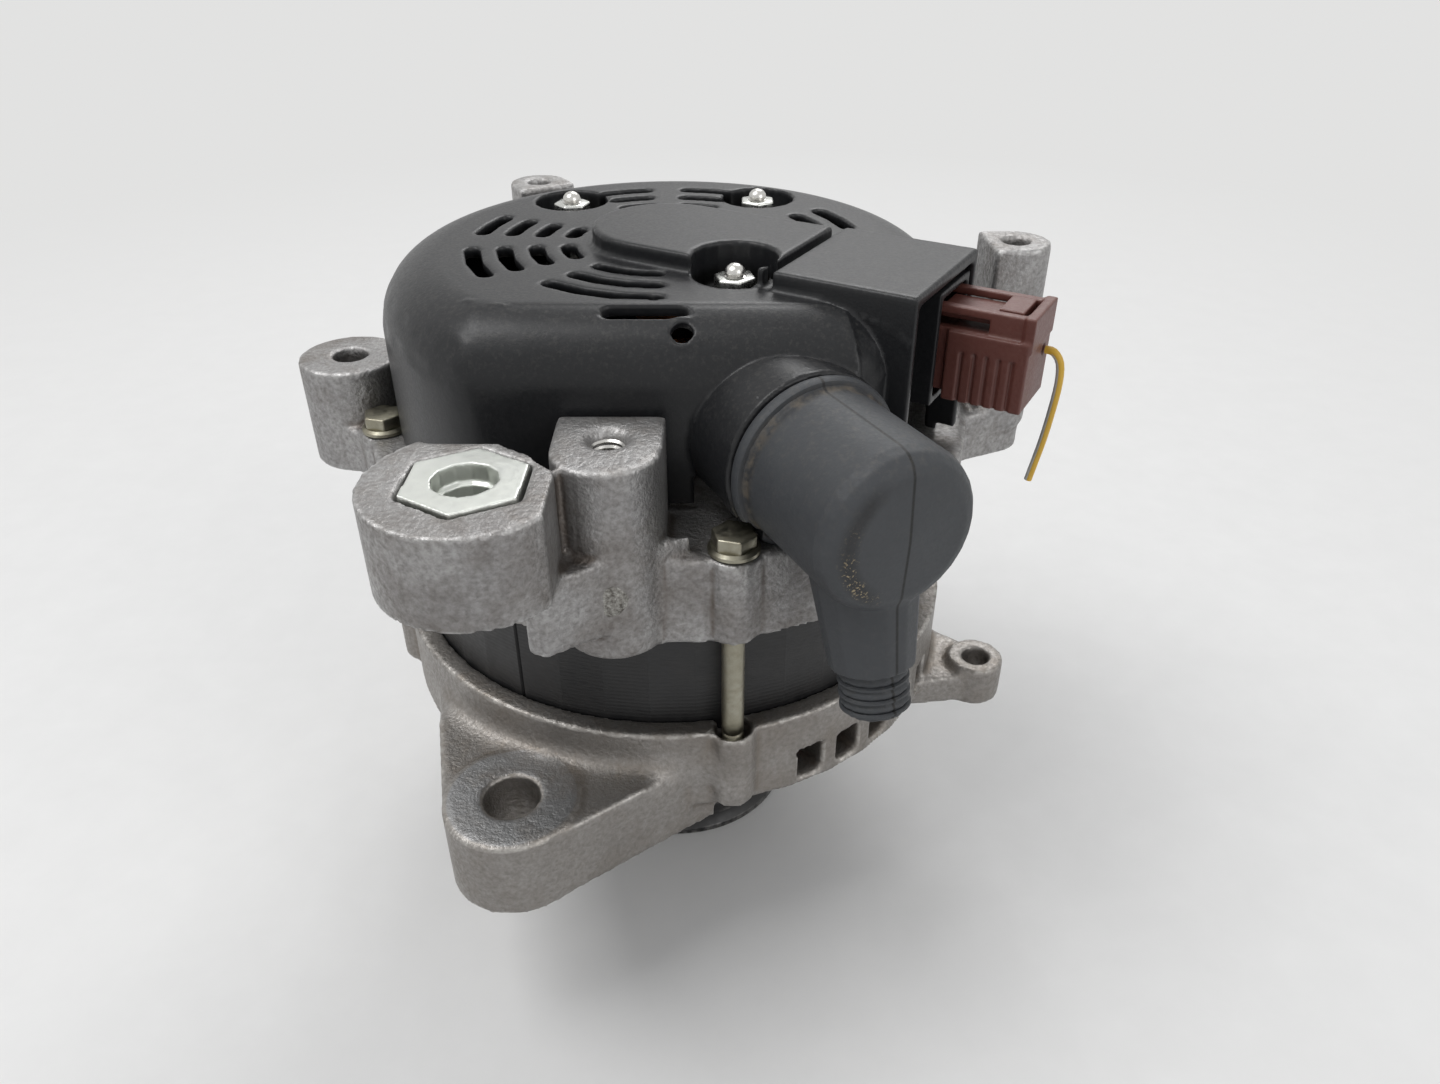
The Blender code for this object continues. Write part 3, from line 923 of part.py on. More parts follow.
def make_boot():
    """A moulded cap over the terminal, with a leaning sleeve for the cable and ribs at the sleeve's mouth."""
    lip = NEST_END + FIT
    edge = arc((BOOT_R - BOOT_EDGE_R, BOOT_END - 0.6 * MM - BOOT_EDGE_R), BOOT_EDGE_R, 80, 0, 4)
    boot = along_terminal(turned("terminal_boot", [(0, BOOT_END)] + edge + [
        (BOOT_R, lip + 3.8 * MM), (BOOT_R + BOOT_LIP, lip + 3 * MM), (BOOT_R + BOOT_LIP, lip), (0, lip)],
        RUBBER, TERMINAL, closed=False, steps=28))
    lean = math.atan2(BOOT_SLEEVE_LEAN, BOOT_SLEEVE_DROP)

    def sleeve(name, top_r, end_r, start, end):
        """A tapered run along the sleeve, measured down it from the terminal's axis."""
        piece = cylinder(name, end_r, -end, -start, frame=TERMINAL, top_radius=top_r, sides=14)
        piece.location = (BOOT_SLEEVE_AT, 0, 0)
        piece.rotation_euler.y = -lean
        return piece

    neck = BOOT_SLEEVE_DROP - 10 * MM
    fuse(boot, sleeve("sleeve_body", BOOT_R - 4.5 * MM, 8.4 * MM, 4 * MM, neck),
         sleeve("sleeve_end", 6.4 * MM, 6 * MM, neck - 2 * MM, BOOT_SLEEVE_DROP))
    for i in range(BOOT_RIBS):
        start = neck + 1.2 * MM + 2.8 * MM * i
        fuse(boot, sleeve(f"sleeve_rib_{i}", 6.9 * MM, 6.9 * MM, start, start + 0.9 * MM))
    room = along_terminal(cylinder("boot_room", BOOT_R - BOOT_WALL, lip - 2 * MM, BOOT_END - BOOT_WALL - 2 * MM,
                                   frame=TERMINAL, sides=32))
    seat = box("boot_seat", (NEST_END - 5 * MM, -BOOT_R * 2, -BOOT_R * 3),
               (REAR_RING_R + 2 * MM, BOOT_R * 2, REAR_Z1 + FIT - TERMINAL_Z), frame=TERMINAL)
    bolt_room = round_hole("boot_bolt_room", BOLT_HEAD_R + 2 * FIT, REAR_Z1 - 1 * MM, REAR_Z1 + BOLT_HEAD_H + 3 * FIT,
                           bolt_places()[0])
    cut(boot, seat, room, bolt_room, sleeve("sleeve_room", 6 * MM, 4.2 * MM, 2 * MM, BOOT_SLEEVE_DROP + 2 * MM))


# Brush gear, regulator and plug, drawn with +X along the hood

def make_brush_gear():
    start = SLIP_RING_R + FIT
    back = start + BRUSH_LENGTH
    holder_x0, holder_x1 = start + 4.5 * MM, back + 12 * MM
    holder = box("brush_holder", (holder_x0, -BRUSH_W / 2 - 2.2 * MM, SLIP_RING_Z[0] - 5 * MM),
                 (holder_x1, BRUSH_W / 2 + 2.2 * MM, SLIP_RING_Z[1] + 4.2 * MM), BLACK_PLASTIC, HOOD)
    for name, z in zip(("positive", "negative"), SLIP_RING_Z):
        low = Vector((0, -BRUSH_W / 2, -BRUSH_H / 2))
        high = Vector((BRUSH_LENGTH, BRUSH_W / 2, BRUSH_H / 2))
        brush = box("brush_" + name, low, high, CARBON, HOOD)
        brush.location = (start, 0, z)
        gap = Vector((0, FIT, FIT))
        channel = box("brush_channel_" + name, low - gap, high + gap + Vector((BRUSH_TRAVEL + 5 * MM, 0, 0)),
                      frame=HOOD)
        channel.location = (start, 0, z)
        cut(holder, channel)
        make_brush_spring("brush_spring_" + name, back + FIT, holder_x1 - 2 * MM - 2 * FIT, z)


def make_brush_spring(name, x0, x1, z):
    """A helix between the brush and the holder's closed end, as one unbroken tube."""
    curve = bpy.data.curves.new(name, "CURVE")
    curve.dimensions = "3D"
    curve.bevel_depth = SPRING_WIRE_R
    curve.bevel_resolution = 0
    curve.use_fill_caps = True
    radius = BRUSH_H / 2 - SPRING_WIRE_R
    length = x1 - x0 - 2 * SPRING_WIRE_R
    count = SPRING_TURNS * 6 + 1
    spline = curve.splines.new("POLY")
    spline.points.add(count - 1)
    for i, point in enumerate(spline.points):
        turn = 2 * math.pi * i / 6
        point.co = (SPRING_WIRE_R + length * i / (count - 1), radius * math.cos(turn), radius * math.sin(turn), 1)
    holder = bpy.data.objects.new(name + "_path", curve)
    CUTTERS.objects.link(holder)
    mesh = mesh_from(holder)
    bpy.data.objects.remove(holder)
    spring = place(name, mesh, STEEL, HOOD)
    spring.location = (x0, 0, z)
    print(name, "least gap between turns, mm:", round((length / SPRING_TURNS - 2 * SPRING_WIRE_R) / MM, 2))


def make_regulator():
    """The regulator, with the socket for the plug moulded on its end."""
    body_x0 = HOOD_GAP_AT + HOOD_GAP_W + COVER_T + FIT
    socket_x0 = HOOD_END - PLUG_NOSE - 2 * MM
    body = box("voltage_regulator", (body_x0, HOOD_Y0 + HOOD_WALL + FIT, COVER_Z0 + 1 * MM),
               (socket_x0, HOOD_Y1 - HOOD_WALL - FIT, SOCKET_Z1 - 6 * MM), BLACK_PLASTIC, HOOD)
    socket = box("socket", (socket_x0 - 1 * MM, SOCKET_Y0 - SOCKET_WALL, SOCKET_Z0 - SOCKET_WALL),
                 (HOOD_END - 0.5 * MM, HOOD_Y1 - HOOD_WALL - FIT, SOCKET_Z1 + SOCKET_WALL), frame=HOOD)
    room = box("socket_room", (HOOD_END - PLUG_NOSE, SOCKET_Y0, SOCKET_Z0),
               (HOOD_END + 2 * MM, SOCKET_Y1 - SOCKET_WALL, SOCKET_Z1), frame=HOOD)
    # The lower body clears the boot's nest beside it.
    nest_space = cylinder("regulator_nest_space", NEST_R - COVER_T + FIT, NEST_END - 39 * MM, NEST_END + 5 * MM,
                          frame=TERMINAL)
    cut(fuse(body, socket), room, along_terminal(nest_space))


def make_plug():
    y0, y1 = SOCKET_Y0 + FIT, SOCKET_Y1 - SOCKET_WALL - FIT
    z0, z1 = SOCKET_Z0 + FIT, SOCKET_Z1 - FIT
    deck = z1 - 5.4 * MM
    back = HOOD_END + 1.2 * MM
    rail = 2.2 * MM
    plug = box("connector_plug", (HOOD_END - PLUG_NOSE + FIT, y0, z0 + 1.6 * MM), (back + 2 * MM, y1, deck - 1 * MM),
               BROWN_PLASTIC, HOOD)
    body = box("plug_body", (back, y0 - 1 * MM, z0), (PLUG_END, y1 + 1 * MM, deck), frame=HOOD)
    rails = [box(f"plug_rail_{i}", (HOOD_END - 8 * MM, y, deck - 3 * MM), (PLUG_END, y + rail, z1 - 0.6 * MM), frame=HOOD)
             for i, y in enumerate((y0, y1 - rail))]
    end_wall = box("plug_end_wall", (PLUG_END - 1.8 * MM, y0 - 0.6 * MM, deck - 2 * MM),
                   (PLUG_END + 0.4 * MM, y1 + 0.6 * MM, z1 - 0.2 * MM), frame=HOOD)
    fuse(plug, body, *rails, end_wall)
    grooves = [box(f"plug_groove_{i}", (back + 3 * MM + 2.6 * MM * i, y0 - 3 * MM, z0 - 1 * MM),
                   (back + 3.8 * MM + 2.6 * MM * i, y0 - 0.4 * MM, deck - 4 * MM), frame=HOOD) for i in range(5)]
    wire_hole = cylinder("wire_hole", WIRE_R + FIT, PLUG_END - 4 * MM, PLUG_END + 4 * MM, frame=HOOD, sides=16)
    along_terminal(wire_hole).location = (0, WIRE_Y, WIRE_Z)
    # Under each rail there is a gap as far as the thumb guard.
    windows = [box(f"rail_window_{i}", (HOOD_END - 9 * MM, y - 0.5 * MM, deck + 0.2 * MM),
                   (LEVER_X + 1.2 * MM, y + rail + 0.5 * MM, z1 - 2.2 * MM), frame=HOOD) for i, y in enumerate((y0, y1 - rail))]
    cut(plug, joined("plug_grooves", grooves), joined("rail_windows", windows), wire_hole)
    lever = box("plug_lock_lever", (-10 * MM, y0 + rail + FIT, -1 * MM), (6 * MM, y1 - rail - FIT, 0.9 * MM),
                BROWN_PLASTIC, HOOD)
    lever.location = (LEVER_X, 0, deck + 1.4 * MM + 1 * MM)
    thumb = box("lever_thumb", (2 * MM, y0 + rail + FIT, 0), (7 * MM, y1 - rail - FIT, 2.6 * MM), frame=HOOD)
    thumb.location = lever.location
    fuse(lever, thumb)


def smooth_route(points, steps):
    """Points of a smooth curve through the route's own points."""
    made = []
    for i in range(len(points) - 1):
        p0, p1, p2, p3 = (Vector(points[max(0, min(len(points) - 1, i + k))]) for k in (-1, 0, 1, 2))
        for s in range(steps):
            t = s / steps
            made.append(0.5 * (2 * p1 + (p2 - p0) * t + (2 * p0 - 5 * p1 + 4 * p2 - p3) * t * t
                               + (3 * p1 - p0 - 3 * p2 + p3) * t ** 3))
    return made + [Vector(points[-1])]


def make_wire():
    curve = bpy.data.curves.new("signal_wire", "CURVE")
    curve.dimensions = "3D"
    curve.bevel_depth = WIRE_R
    curve.bevel_resolution = 2
    curve.use_fill_caps = True
    points = smooth_route([Vector((PLUG_END, WIRE_Y, WIRE_Z)) + Vector(p) * MM for p in WIRE_ROUTE], 2)
    spline = curve.splines.new("POLY")
    spline.points.add(len(points) - 1)
    for point, co in zip(spline.points, points):
        point.co = (*co, 1)
    path = bpy.data.objects.new("signal_wire_path", curve)
    CUTTERS.objects.link(path)
    mesh = mesh_from(path)
    bpy.data.objects.remove(path)
    place("signal_wire", mesh, YELLOW_WIRE, HOOD)
    print("signal wire length, mm:", round(sum((b - a).length for a, b in zip(points, points[1:])) / MM, 1))


COVER_STUDS = [polar(PLATFORM_R + FRONT_STUD_STEP, STUD_ANGLES[0])]
COVER_STUDS += [polar(COVER_R - STUD_INSET, turn) for turn in STUD_ANGLES[1:]]
HOOD = empty("hood_direction", (0, 0, 0), HOOD_ANGLE)
TERMINAL = empty("terminal_direction", (0, 0, TERMINAL_Z), TERMINAL_ANGLE)

make_drive_end_frame()
make_bearing_retainer()
make_rear_end_frame()
make_slide_nut()
make_through_bolts()
make_stator()
make_rotor()
make_bearing("front_bearing", SHAFT_R + FIT, FRONT_BEARING_R, FRONT_BEARING_Z0, FRONT_BEARING_H, 7)
make_bearing("rear_bearing", SHAFT_REAR_R + FIT, REAR_BEARING_R, REAR_BEARING_Z0, REAR_BEARING_H, 8)
make_rectifier()
make_rear_cover()
make_terminal()
make_boot()
make_brush_gear()
make_regulator()
make_plug()
make_wire()

for part in PARTS.objects:
    if part.type == "MESH":
        part.data.shade_smooth()
        part.data.set_sharp_from_angle(angle=math.radians(35))
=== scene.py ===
# %% [markdown]
# A car alternator stands on its pulley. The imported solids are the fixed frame: every piece made here
# sits where they say, and rides on one of their bodies. Lengths are in metres, and Object coordinates
# are the same for every piece, because each one keeps its place in its mesh.

# %% Load the frame
import json
import math

import bpy
import numpy as np
from mathutils import Matrix, Vector


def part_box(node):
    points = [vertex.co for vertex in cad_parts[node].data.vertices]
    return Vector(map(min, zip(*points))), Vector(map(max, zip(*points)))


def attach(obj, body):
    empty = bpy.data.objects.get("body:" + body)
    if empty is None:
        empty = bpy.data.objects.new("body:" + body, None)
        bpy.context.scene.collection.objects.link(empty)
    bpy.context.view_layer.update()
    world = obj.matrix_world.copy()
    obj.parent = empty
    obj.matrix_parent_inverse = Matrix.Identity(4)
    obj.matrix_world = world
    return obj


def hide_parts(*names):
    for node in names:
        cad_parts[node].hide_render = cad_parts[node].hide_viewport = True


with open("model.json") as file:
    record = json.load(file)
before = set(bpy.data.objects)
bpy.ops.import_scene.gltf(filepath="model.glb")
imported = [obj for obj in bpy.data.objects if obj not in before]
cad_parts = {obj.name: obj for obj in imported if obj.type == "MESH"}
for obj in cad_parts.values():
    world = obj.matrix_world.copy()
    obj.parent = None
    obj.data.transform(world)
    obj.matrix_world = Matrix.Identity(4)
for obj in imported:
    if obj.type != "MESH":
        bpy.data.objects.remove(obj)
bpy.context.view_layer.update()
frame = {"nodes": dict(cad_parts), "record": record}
MM = 0.001
nodes = frame["nodes"]
print("solids:", len(nodes))

# %% [markdown]
# The camera comes first. The mounting lug and the rear lug share one axis, and the stator's rim is a true
# circle, so those two facts fix the height, the tilt and the lens of the camera.

# %% Camera
CAMERA_PLACE = (11.9 * MM, -238 * MM, 232 * MM)
CAMERA_DOWN = 32.85
CAMERA_LENS = 26.75
SENSOR_WIDTH = 36
NEAREST_SEEN = 0.01
bpy.ops.object.select_all(action="DESELECT")
bpy.ops.object.camera_add(location=CAMERA_PLACE, rotation=(math.radians(90 - CAMERA_DOWN), 0, 0))
camera = bpy.context.object
camera.data.lens = CAMERA_LENS
camera.data.sensor_width = SENSOR_WIDTH
camera.data.clip_start = NEAREST_SEEN
bpy.context.scene.camera = camera
bpy.context.scene.view_settings.view_transform = "Standard"
print("camera height, mm:", round(camera.location.z / MM))

# %% [markdown]
# The signal wire is a short cut end of a single core. It leaves the plug, turns down and hangs free.
# A curve through the route's points gives it one smooth run. Its route is written along the plug's hood,
# which is turned about the shaft.

# %% Signal wire
HOOD_TURN = Matrix.Rotation(math.radians(-30), 4, "Z")
WIRE_R = 0.85 * MM
ROUTE_STEPS = 3
WIRE_ROUTE = [(84.4, 10.5, 146.5), (86.2, 10.5, 146.3), (87.8, 10.4, 144.2), (88.3, 10.2, 140.0),
              (88.0, 9.9, 134.0), (87.3, 9.6, 127.0), (86.4, 9.3, 121.0), (85.8, 9.1, 117.2)]


def smooth_route(points, steps):
    """Points of a smooth curve through the route's own points."""
    made = []
    last = len(points) - 1
    for i in range(last):
        p0, p1, p2, p3 = (Vector(points[max(0, min(last, i + k))]) for k in (-1, 0, 1, 2))
        for s in range(steps):
            t = s / steps
            made.append(0.5 * (2 * p1 + (p2 - p0) * t + (2 * p0 - 5 * p1 + 4 * p2 - p3) * t * t
                               + (3 * p1 - p0 - 3 * p2 + p3) * t ** 3))
    return made + [Vector(points[-1])]


wire_points = [HOOD_TURN @ (p * MM) for p in smooth_route(WIRE_ROUTE, ROUTE_STEPS)]
wire_curve = bpy.data.curves.new("signal_wire_dressed", "CURVE")
wire_curve.dimensions = "3D"
wire_curve.bevel_depth = 1
wire_curve.bevel_resolution = 6
wire_curve.use_fill_caps = True
wire_line = wire_curve.splines.new("POLY")
wire_line.points.add(len(wire_points) - 1)
for point, place in zip(wire_line.points, wire_points):
    point.co = (*place, 1)
    point.radius = WIRE_R
wire = bpy.data.objects.new("signal_wire_dressed", wire_curve)
bpy.context.scene.collection.objects.link(wire)
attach(wire, "plug")
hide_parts("signal_wire")

# %% [markdown]
# Places and sizes that several cells share. They repeat what the solids have, so that a finish or an added
# detail lands on the right spot.

# %% Shared places
FRONT_LUG = (-32 * MM, -77.7 * MM)
BOSS_HOLE = (-8.9 * MM, -62.3 * MM)
TERMINAL_HEIGHT = 134 * MM
TERMINAL_ANGLE = math.radians(-63)
TERMINAL_TURN = Matrix.Translation((0, 0, TERMINAL_HEIGHT)) @ Matrix.Rotation(TERMINAL_ANGLE, 4, "Z")
ALONG_TERMINAL = TERMINAL_TURN @ Matrix.Rotation(math.radians(90), 4, "Y")
COVER_R = 63.7 * MM
COVER_TOP = 158.7 * MM
EDGE_R = 14 * MM
FLAT_Y = -51 * MM
BOLTS = 4
BOLT_CIRCLE = 67.5 * MM
FIRST_BOLT = -77.5


def bolt_place(i):
    turn = math.radians(FIRST_BOLT + 90 * i)
    return BOLT_CIRCLE * math.cos(turn), BOLT_CIRCLE * math.sin(turn)


# %% [markdown]
# Effects that several finishes share are node groups: a fine speckle, wear on outer edges, dirt in creases,
# and dust that settles on what faces up. Each finish mixes them with its own colours.

# %% Shared effects


def link(tree, out, into):
    tree.links.new(out, into)


def make_group(name, inputs, outputs):
    group = bpy.data.node_groups.new(name, "ShaderNodeTree")
    for socket, value in inputs:
        made = group.interface.new_socket(socket, in_out="INPUT", socket_type="NodeSocketFloat")
        made.default_value = value
    for socket in outputs:
        group.interface.new_socket(socket, in_out="OUTPUT", socket_type="NodeSocketFloat")
    return group, group.nodes.new("NodeGroupInput"), group.nodes.new("NodeGroupOutput")


def ramp(tree, value, low, high):
    """Maps low..high of a value to 0..1."""
    node = tree.nodes.new("ShaderNodeMapRange")
    node.inputs["From Min"].default_value = low
    node.inputs["From Max"].default_value = high
    link(tree, value, node.inputs["Value"])
    return node.outputs["Result"]


def times(tree, a, b):
    node = tree.nodes.new("ShaderNodeMath")
    node.operation = "MULTIPLY"
    for value, socket in ((a, node.inputs[0]), (b, node.inputs[1])):
        if isinstance(value, float):
            socket.default_value = value
        else:
            link(tree, value, socket)
    return node.outputs[0]


def band(tree, value, rise, fall):
    """1 between two slopes of a value; each slope says where it is 0 and where it is 1."""
    return times(tree, ramp(tree, value, *rise), ramp(tree, value, *fall))


def noise_on(tree, scale, detail, roughness=0.6):
    place = tree.nodes.new("ShaderNodeTexCoord")
    noise = tree.nodes.new("ShaderNodeTexNoise")
    noise.inputs["Detail"].default_value = detail
    noise.inputs["Roughness"].default_value = roughness
    if isinstance(scale, float):
        noise.inputs["Scale"].default_value = scale
    else:
        link(tree, scale, noise.inputs["Scale"])
    link(tree, place.outputs["Object"], noise.inputs["Vector"])
    return noise.outputs["Fac"]


def bend_mask(name, start, end, scale, low, high):
    """Where a surface bends out or in, broken up by noise; Start and End are values of Pointiness."""
    group, group_in, group_out = make_group(name, [("Start", start), ("End", end)], ["Mask"])
    geometry = group.nodes.new("ShaderNodeNewGeometry")
    bend = group.nodes.new("ShaderNodeMapRange")
    link(group, geometry.outputs["Pointiness"], bend.inputs["Value"])
    link(group, group_in.outputs["Start"], bend.inputs["From Min"])
    link(group, group_in.outputs["End"], bend.inputs["From Max"])
    broken = ramp(group, noise_on(group, scale, 4.0), low, high)
    link(group, times(group, bend.outputs["Result"], broken), group_out.inputs["Mask"])
    return group


speckle, speckle_in, speckle_out = make_group("fine_speckle", [("Scale", 900.0)], ["Grain", "Patch"])
speckle_grain = ramp(speckle, noise_on(speckle, speckle_in.outputs["Scale"], 3.0), 0.3, 0.7)
speckle_patch = ramp(speckle, noise_on(speckle, 55.0, 4.0), 0.35, 0.68)
link(speckle, speckle_grain, speckle_out.inputs["Grain"])
link(speckle, speckle_patch, speckle_out.inputs["Patch"])

wear = bend_mask("edge_wear", 0.52, 0.6, 420.0, 0.38, 0.62)
crease = bend_mask("dirty_creases", 0.497, 0.476, 160.0, 0.25, 0.55)

dust, dust_in, dust_out = make_group("settled_dust", [("Scale", 300.0)], ["Mask"])
dust_geometry = dust.nodes.new("ShaderNodeNewGeometry")
dust_split = dust.nodes.new("ShaderNodeSeparateXYZ")
link(dust, dust_geometry.outputs["Normal"], dust_split.inputs["Vector"])
dust_up = ramp(dust, dust_split.outputs["Z"], -0.2, 0.9)
dust_noise = ramp(dust, noise_on(dust, dust_in.outputs["Scale"], 6.0, 0.7), 0.5, 0.72)
link(dust, times(dust, dust_up, dust_noise), dust_out.inputs["Mask"])
print("groups:", [g.name for g in bpy.data.node_groups])

# %% [markdown]
# A finish is one Principled shader: its colour runs between two shades in patches, then takes grain, dirt,
# wear and dust on top, and the grain also makes a very small bump. Some finishes add a mark of their own.

# %% Making a finish
STAIN_STRENGTH = 0.7
CREASE_STRENGTH = 0.85
GRAIN_BUMP = 0.6


def mix_colour(tree, factor, first, second):
    node = tree.nodes.new("ShaderNodeMix")
    node.data_type = "RGBA"
    link(tree, factor, node.inputs["Factor"])
    for value, socket in ((first, node.inputs["A"]), (second, node.inputs["B"])):
        if isinstance(value, tuple):
            socket.default_value = (*value, 1)
        else:
            link(tree, value, socket)
    return node.outputs["Result"]


def use_group(tree, group, **values):
    node = tree.nodes.new("ShaderNodeGroup")
    node.node_tree = group
    for name, value in values.items():
        node.inputs[name].default_value = value
    return node.outputs


def add_bump(tree, shader, height, strength, distance):
    node = tree.nodes.new("ShaderNodeBump")
    node.inputs["Strength"].default_value = strength
    node.inputs["Distance"].default_value = distance
    link(tree, height, node.inputs["Height"])
    link(tree, node.outputs["Normal"], shader.inputs["Normal"])


def make_finish(name, shades, rough, metallic, grain_scale=900.0, grain=0.35, bump=0.0, worn=None, dusty=None,
                extra=None, dirt=None):
    """shades are two patch colours and the grain's; worn and dusty hold a colour and values, dirt a colour."""
    material = bpy.data.materials.new(name)
    material.use_nodes = True
    tree = material.node_tree
    shader = tree.nodes["Principled BSDF"]
    shader.inputs["Metallic"].default_value = metallic
    spots = use_group(tree, speckle, Scale=grain_scale)
    colour = mix_colour(tree, spots["Patch"], shades[0], shades[1])
    colour = mix_colour(tree, times(tree, spots["Grain"], grain), colour, shades[2])
    if extra is not None:
        colour = extra(tree, colour, shader)
    if dirt is not None:
        stain = ramp(tree, noise_on(tree, 38.0, 6.0, 0.7), 0.47, 0.72)
        creases = use_group(tree, crease)["Mask"]
        colour = mix_colour(tree, times(tree, stain, STAIN_STRENGTH), colour, dirt)
        colour = mix_colour(tree, times(tree, creases, CREASE_STRENGTH), colour, dirt)
    if worn is not None:
        worn_colour, start, end = worn
        mask = use_group(tree, wear, Start=start, End=end)["Mask"]
        colour = mix_colour(tree, mask, colour, worn_colour)
    if dusty is not None:
        dust_colour, strength, scale = dusty
        mask = use_group(tree, dust, Scale=scale)["Mask"]
        colour = mix_colour(tree, times(tree, mask, strength), colour, dust_colour)
    link(tree, colour, shader.inputs["Base Color"])
    span = tree.nodes.new("ShaderNodeMapRange")
    span.inputs["To Min"].default_value = rough[0]
    span.inputs["To Max"].default_value = rough[1]
    link(tree, spots["Grain"], span.inputs["Value"])
    link(tree, span.outputs["Result"], shader.inputs["Roughness"])
    if bump:
        add_bump(tree, shader, spots["Grain"], GRAIN_BUMP, bump)
    return material


# %% [markdown]
# Marks that belong to one finish only: sheet lines on the stator, the milled ring on the front lug, painted shade
# inside the cover's slots, the stripe on the wire, and the slit, dirt and painted shade on the boot.

# %% Marks of single finishes
SHEET = 1.0 * MM
COVER_SHINE = 0.34
# Near black painted into the boot's groove and step as shade.
BOOT_SHADE = (0.008, 0.008, 0.009)


def vector_math(tree, operation, vector, constant=(0, 0, 0)):
    node = tree.nodes.new("ShaderNodeVectorMath")
    node.operation = operation
    node.inputs[1].default_value = constant
    link(tree, vector, node.inputs[0])
    return node.outputs


def object_axes(tree):
    """X, Y and Z of a place on the object."""
    place = tree.nodes.new("ShaderNodeTexCoord")
    split = tree.nodes.new("ShaderNodeSeparateXYZ")
    link(tree, place.outputs["Object"], split.inputs["Vector"])
    return split.outputs


def distance_from(tree, x, y):
    """Level distance from an upright line, in metres."""
    place = tree.nodes.new("ShaderNodeTexCoord")
    level = vector_math(tree, "MULTIPLY", place.outputs["Object"], (1, 1, 0))["Vector"]
    return vector_math(tree, "DISTANCE", level, (x, y, 0))["Value"]


def facing(tree, direction, low, high):
    """1 where the surface faces a direction, 0 where it turns away."""
    geometry = tree.nodes.new("ShaderNodeNewGeometry")
    return ramp(tree, vector_math(tree, "DOT_PRODUCT", geometry.outputs["Normal"], direction)["Value"], low, high)


def lamination_lines(tree, colour, shader):
    """Fine level lines where the stator's sheets meet."""
    wave = tree.nodes.new("ShaderNodeMath")
    wave.operation = "SINE"
    link(tree, times(tree, object_axes(tree)["Z"], 2 * math.pi / SHEET), wave.inputs[0])
    add_bump(tree, shader, wave.outputs[0], 0.15, 0.08 * MM)
    return colour


def spot_face(tree, colour, shader):
    """The ring that was milled flat round the lug's hole."""
    near_hole = ramp(tree, distance_from(tree, *FRONT_LUG), 13.9 * MM, 13.3 * MM)
    ring = times(tree, near_hole, facing(tree, (0.0, 0.0, 1.0), 0.9, 0.98))
    return mix_colour(tree, times(tree, ring, 0.6), colour, (0.36, 0.37, 0.385))


def painted_slot_shade(tree, colour, shader):
    """Painted shade: slot walls and stud pockets lie below the cover's top, where light hardly reaches, so they
    are painted near black.
    """
    axes = object_axes(tree)
    shoulder_y = FLAT_Y + EDGE_R
    below = ramp(tree, axes["Z"], COVER_TOP - 0.7 * MM, COVER_TOP - 2.3 * MM)
    below = times(tree, below, ramp(tree, distance_from(tree, 0, 0), 50 * MM, 48 * MM))
    below = times(tree, below, ramp(tree, axes["Y"], shoulder_y, shoulder_y + 1.5 * MM))
    shader.inputs["Specular IOR Level"].default_value = COVER_SHINE
    # Painted shade: the sunken walls are mixed to near black.
    return mix_colour(tree, below, colour, (0.003, 0.003, 0.003))


def pale_stripe(tree, colour, shader):
    """A grey-white stripe down one side of the wire's jacket."""
    return mix_colour(tree, facing(tree, (-0.95, -0.3, 0.0), 0.76, 0.86), colour, (0.55, 0.55, 0.52))


def boot_marks(tree, colour, shader):
    """A closed slit along the boot's top and end, painted shade and some dirt in the groove behind its lip, and
    painted shade with dirt crumbs on a step near its end.
    """
    place = tree.nodes.new("ShaderNodeTexCoord")
    turn = tree.nodes.new("ShaderNodeMapping")
    turn.vector_type = "TEXTURE"
    turn.inputs["Rotation"].default_value = (0, 0, TERMINAL_ANGLE)
    link(tree, place.outputs["Object"], turn.inputs["Vector"])
    split = tree.nodes.new("ShaderNodeSeparateXYZ")
    link(tree, turn.outputs["Vector"], split.inputs["Vector"])
    along, across, up = (split.outputs[axis] for axis in "XYZ")
    side = tree.nodes.new("ShaderNodeMath")
    side.operation = "ABSOLUTE"
    link(tree, across, side.inputs[0])
    slit = ramp(tree, side.outputs[0], 0.4 * MM, 0.15 * MM)
    centred = vector_math(tree, "SUBTRACT", turn.outputs["Vector"], (0, 0, TERMINAL_HEIGHT))["Vector"]
    reach = vector_math(tree, "LENGTH", vector_math(tree, "MULTIPLY", centred, (0, 1, 1))["Vector"])["Value"]
    groove = band(tree, along, (67.4 * MM, 68 * MM), (70.5 * MM, 68.6 * MM))
    rim = times(tree, groove, ramp(tree, noise_on(tree, 330.0, 5.0), 0.42, 0.6))
    # Painted shade in the groove behind the lip; the noisy brown rim after it is dirt.
    colour = mix_colour(tree, times(tree, groove, 0.6), colour, BOOT_SHADE)
    colour = mix_colour(tree, times(tree, rim, 0.3), colour, (0.24, 0.19, 0.13))
    step = times(tree, ramp(tree, across, -4 * MM, -8 * MM), ramp(tree, along, 92 * MM, 94 * MM))
    step = times(tree, step, band(tree, reach, (9.6 * MM, 11.2 * MM), (14 * MM, 12.4 * MM)))
    # Painted shade on the step near the boot's end; the brown crumbs after it are dirt.
    colour = mix_colour(tree, times(tree, step, 0.75), colour, BOOT_SHADE)
    crumbs = times(tree, step, ramp(tree, noise_on(tree, 1900.0, 3.0), 0.57, 0.63))
    crumbs = times(tree, crumbs, ramp(tree, up, 140 * MM, 132 * MM))
    crumbs = times(tree, crumbs, ramp(tree, noise_on(tree, 190.0, 2.0), 0.45, 0.58))
    colour = mix_colour(tree, crumbs, colour, (0.34, 0.27, 0.16))
    return mix_colour(tree, slit, colour, (0.004, 0.004, 0.004))


# %% [markdown]
# The finishes themselves: two castings, black plastic, bare stator sheets, four platings, brown plastic,
# rubber, the coated pulley, and what shows only through the vents.

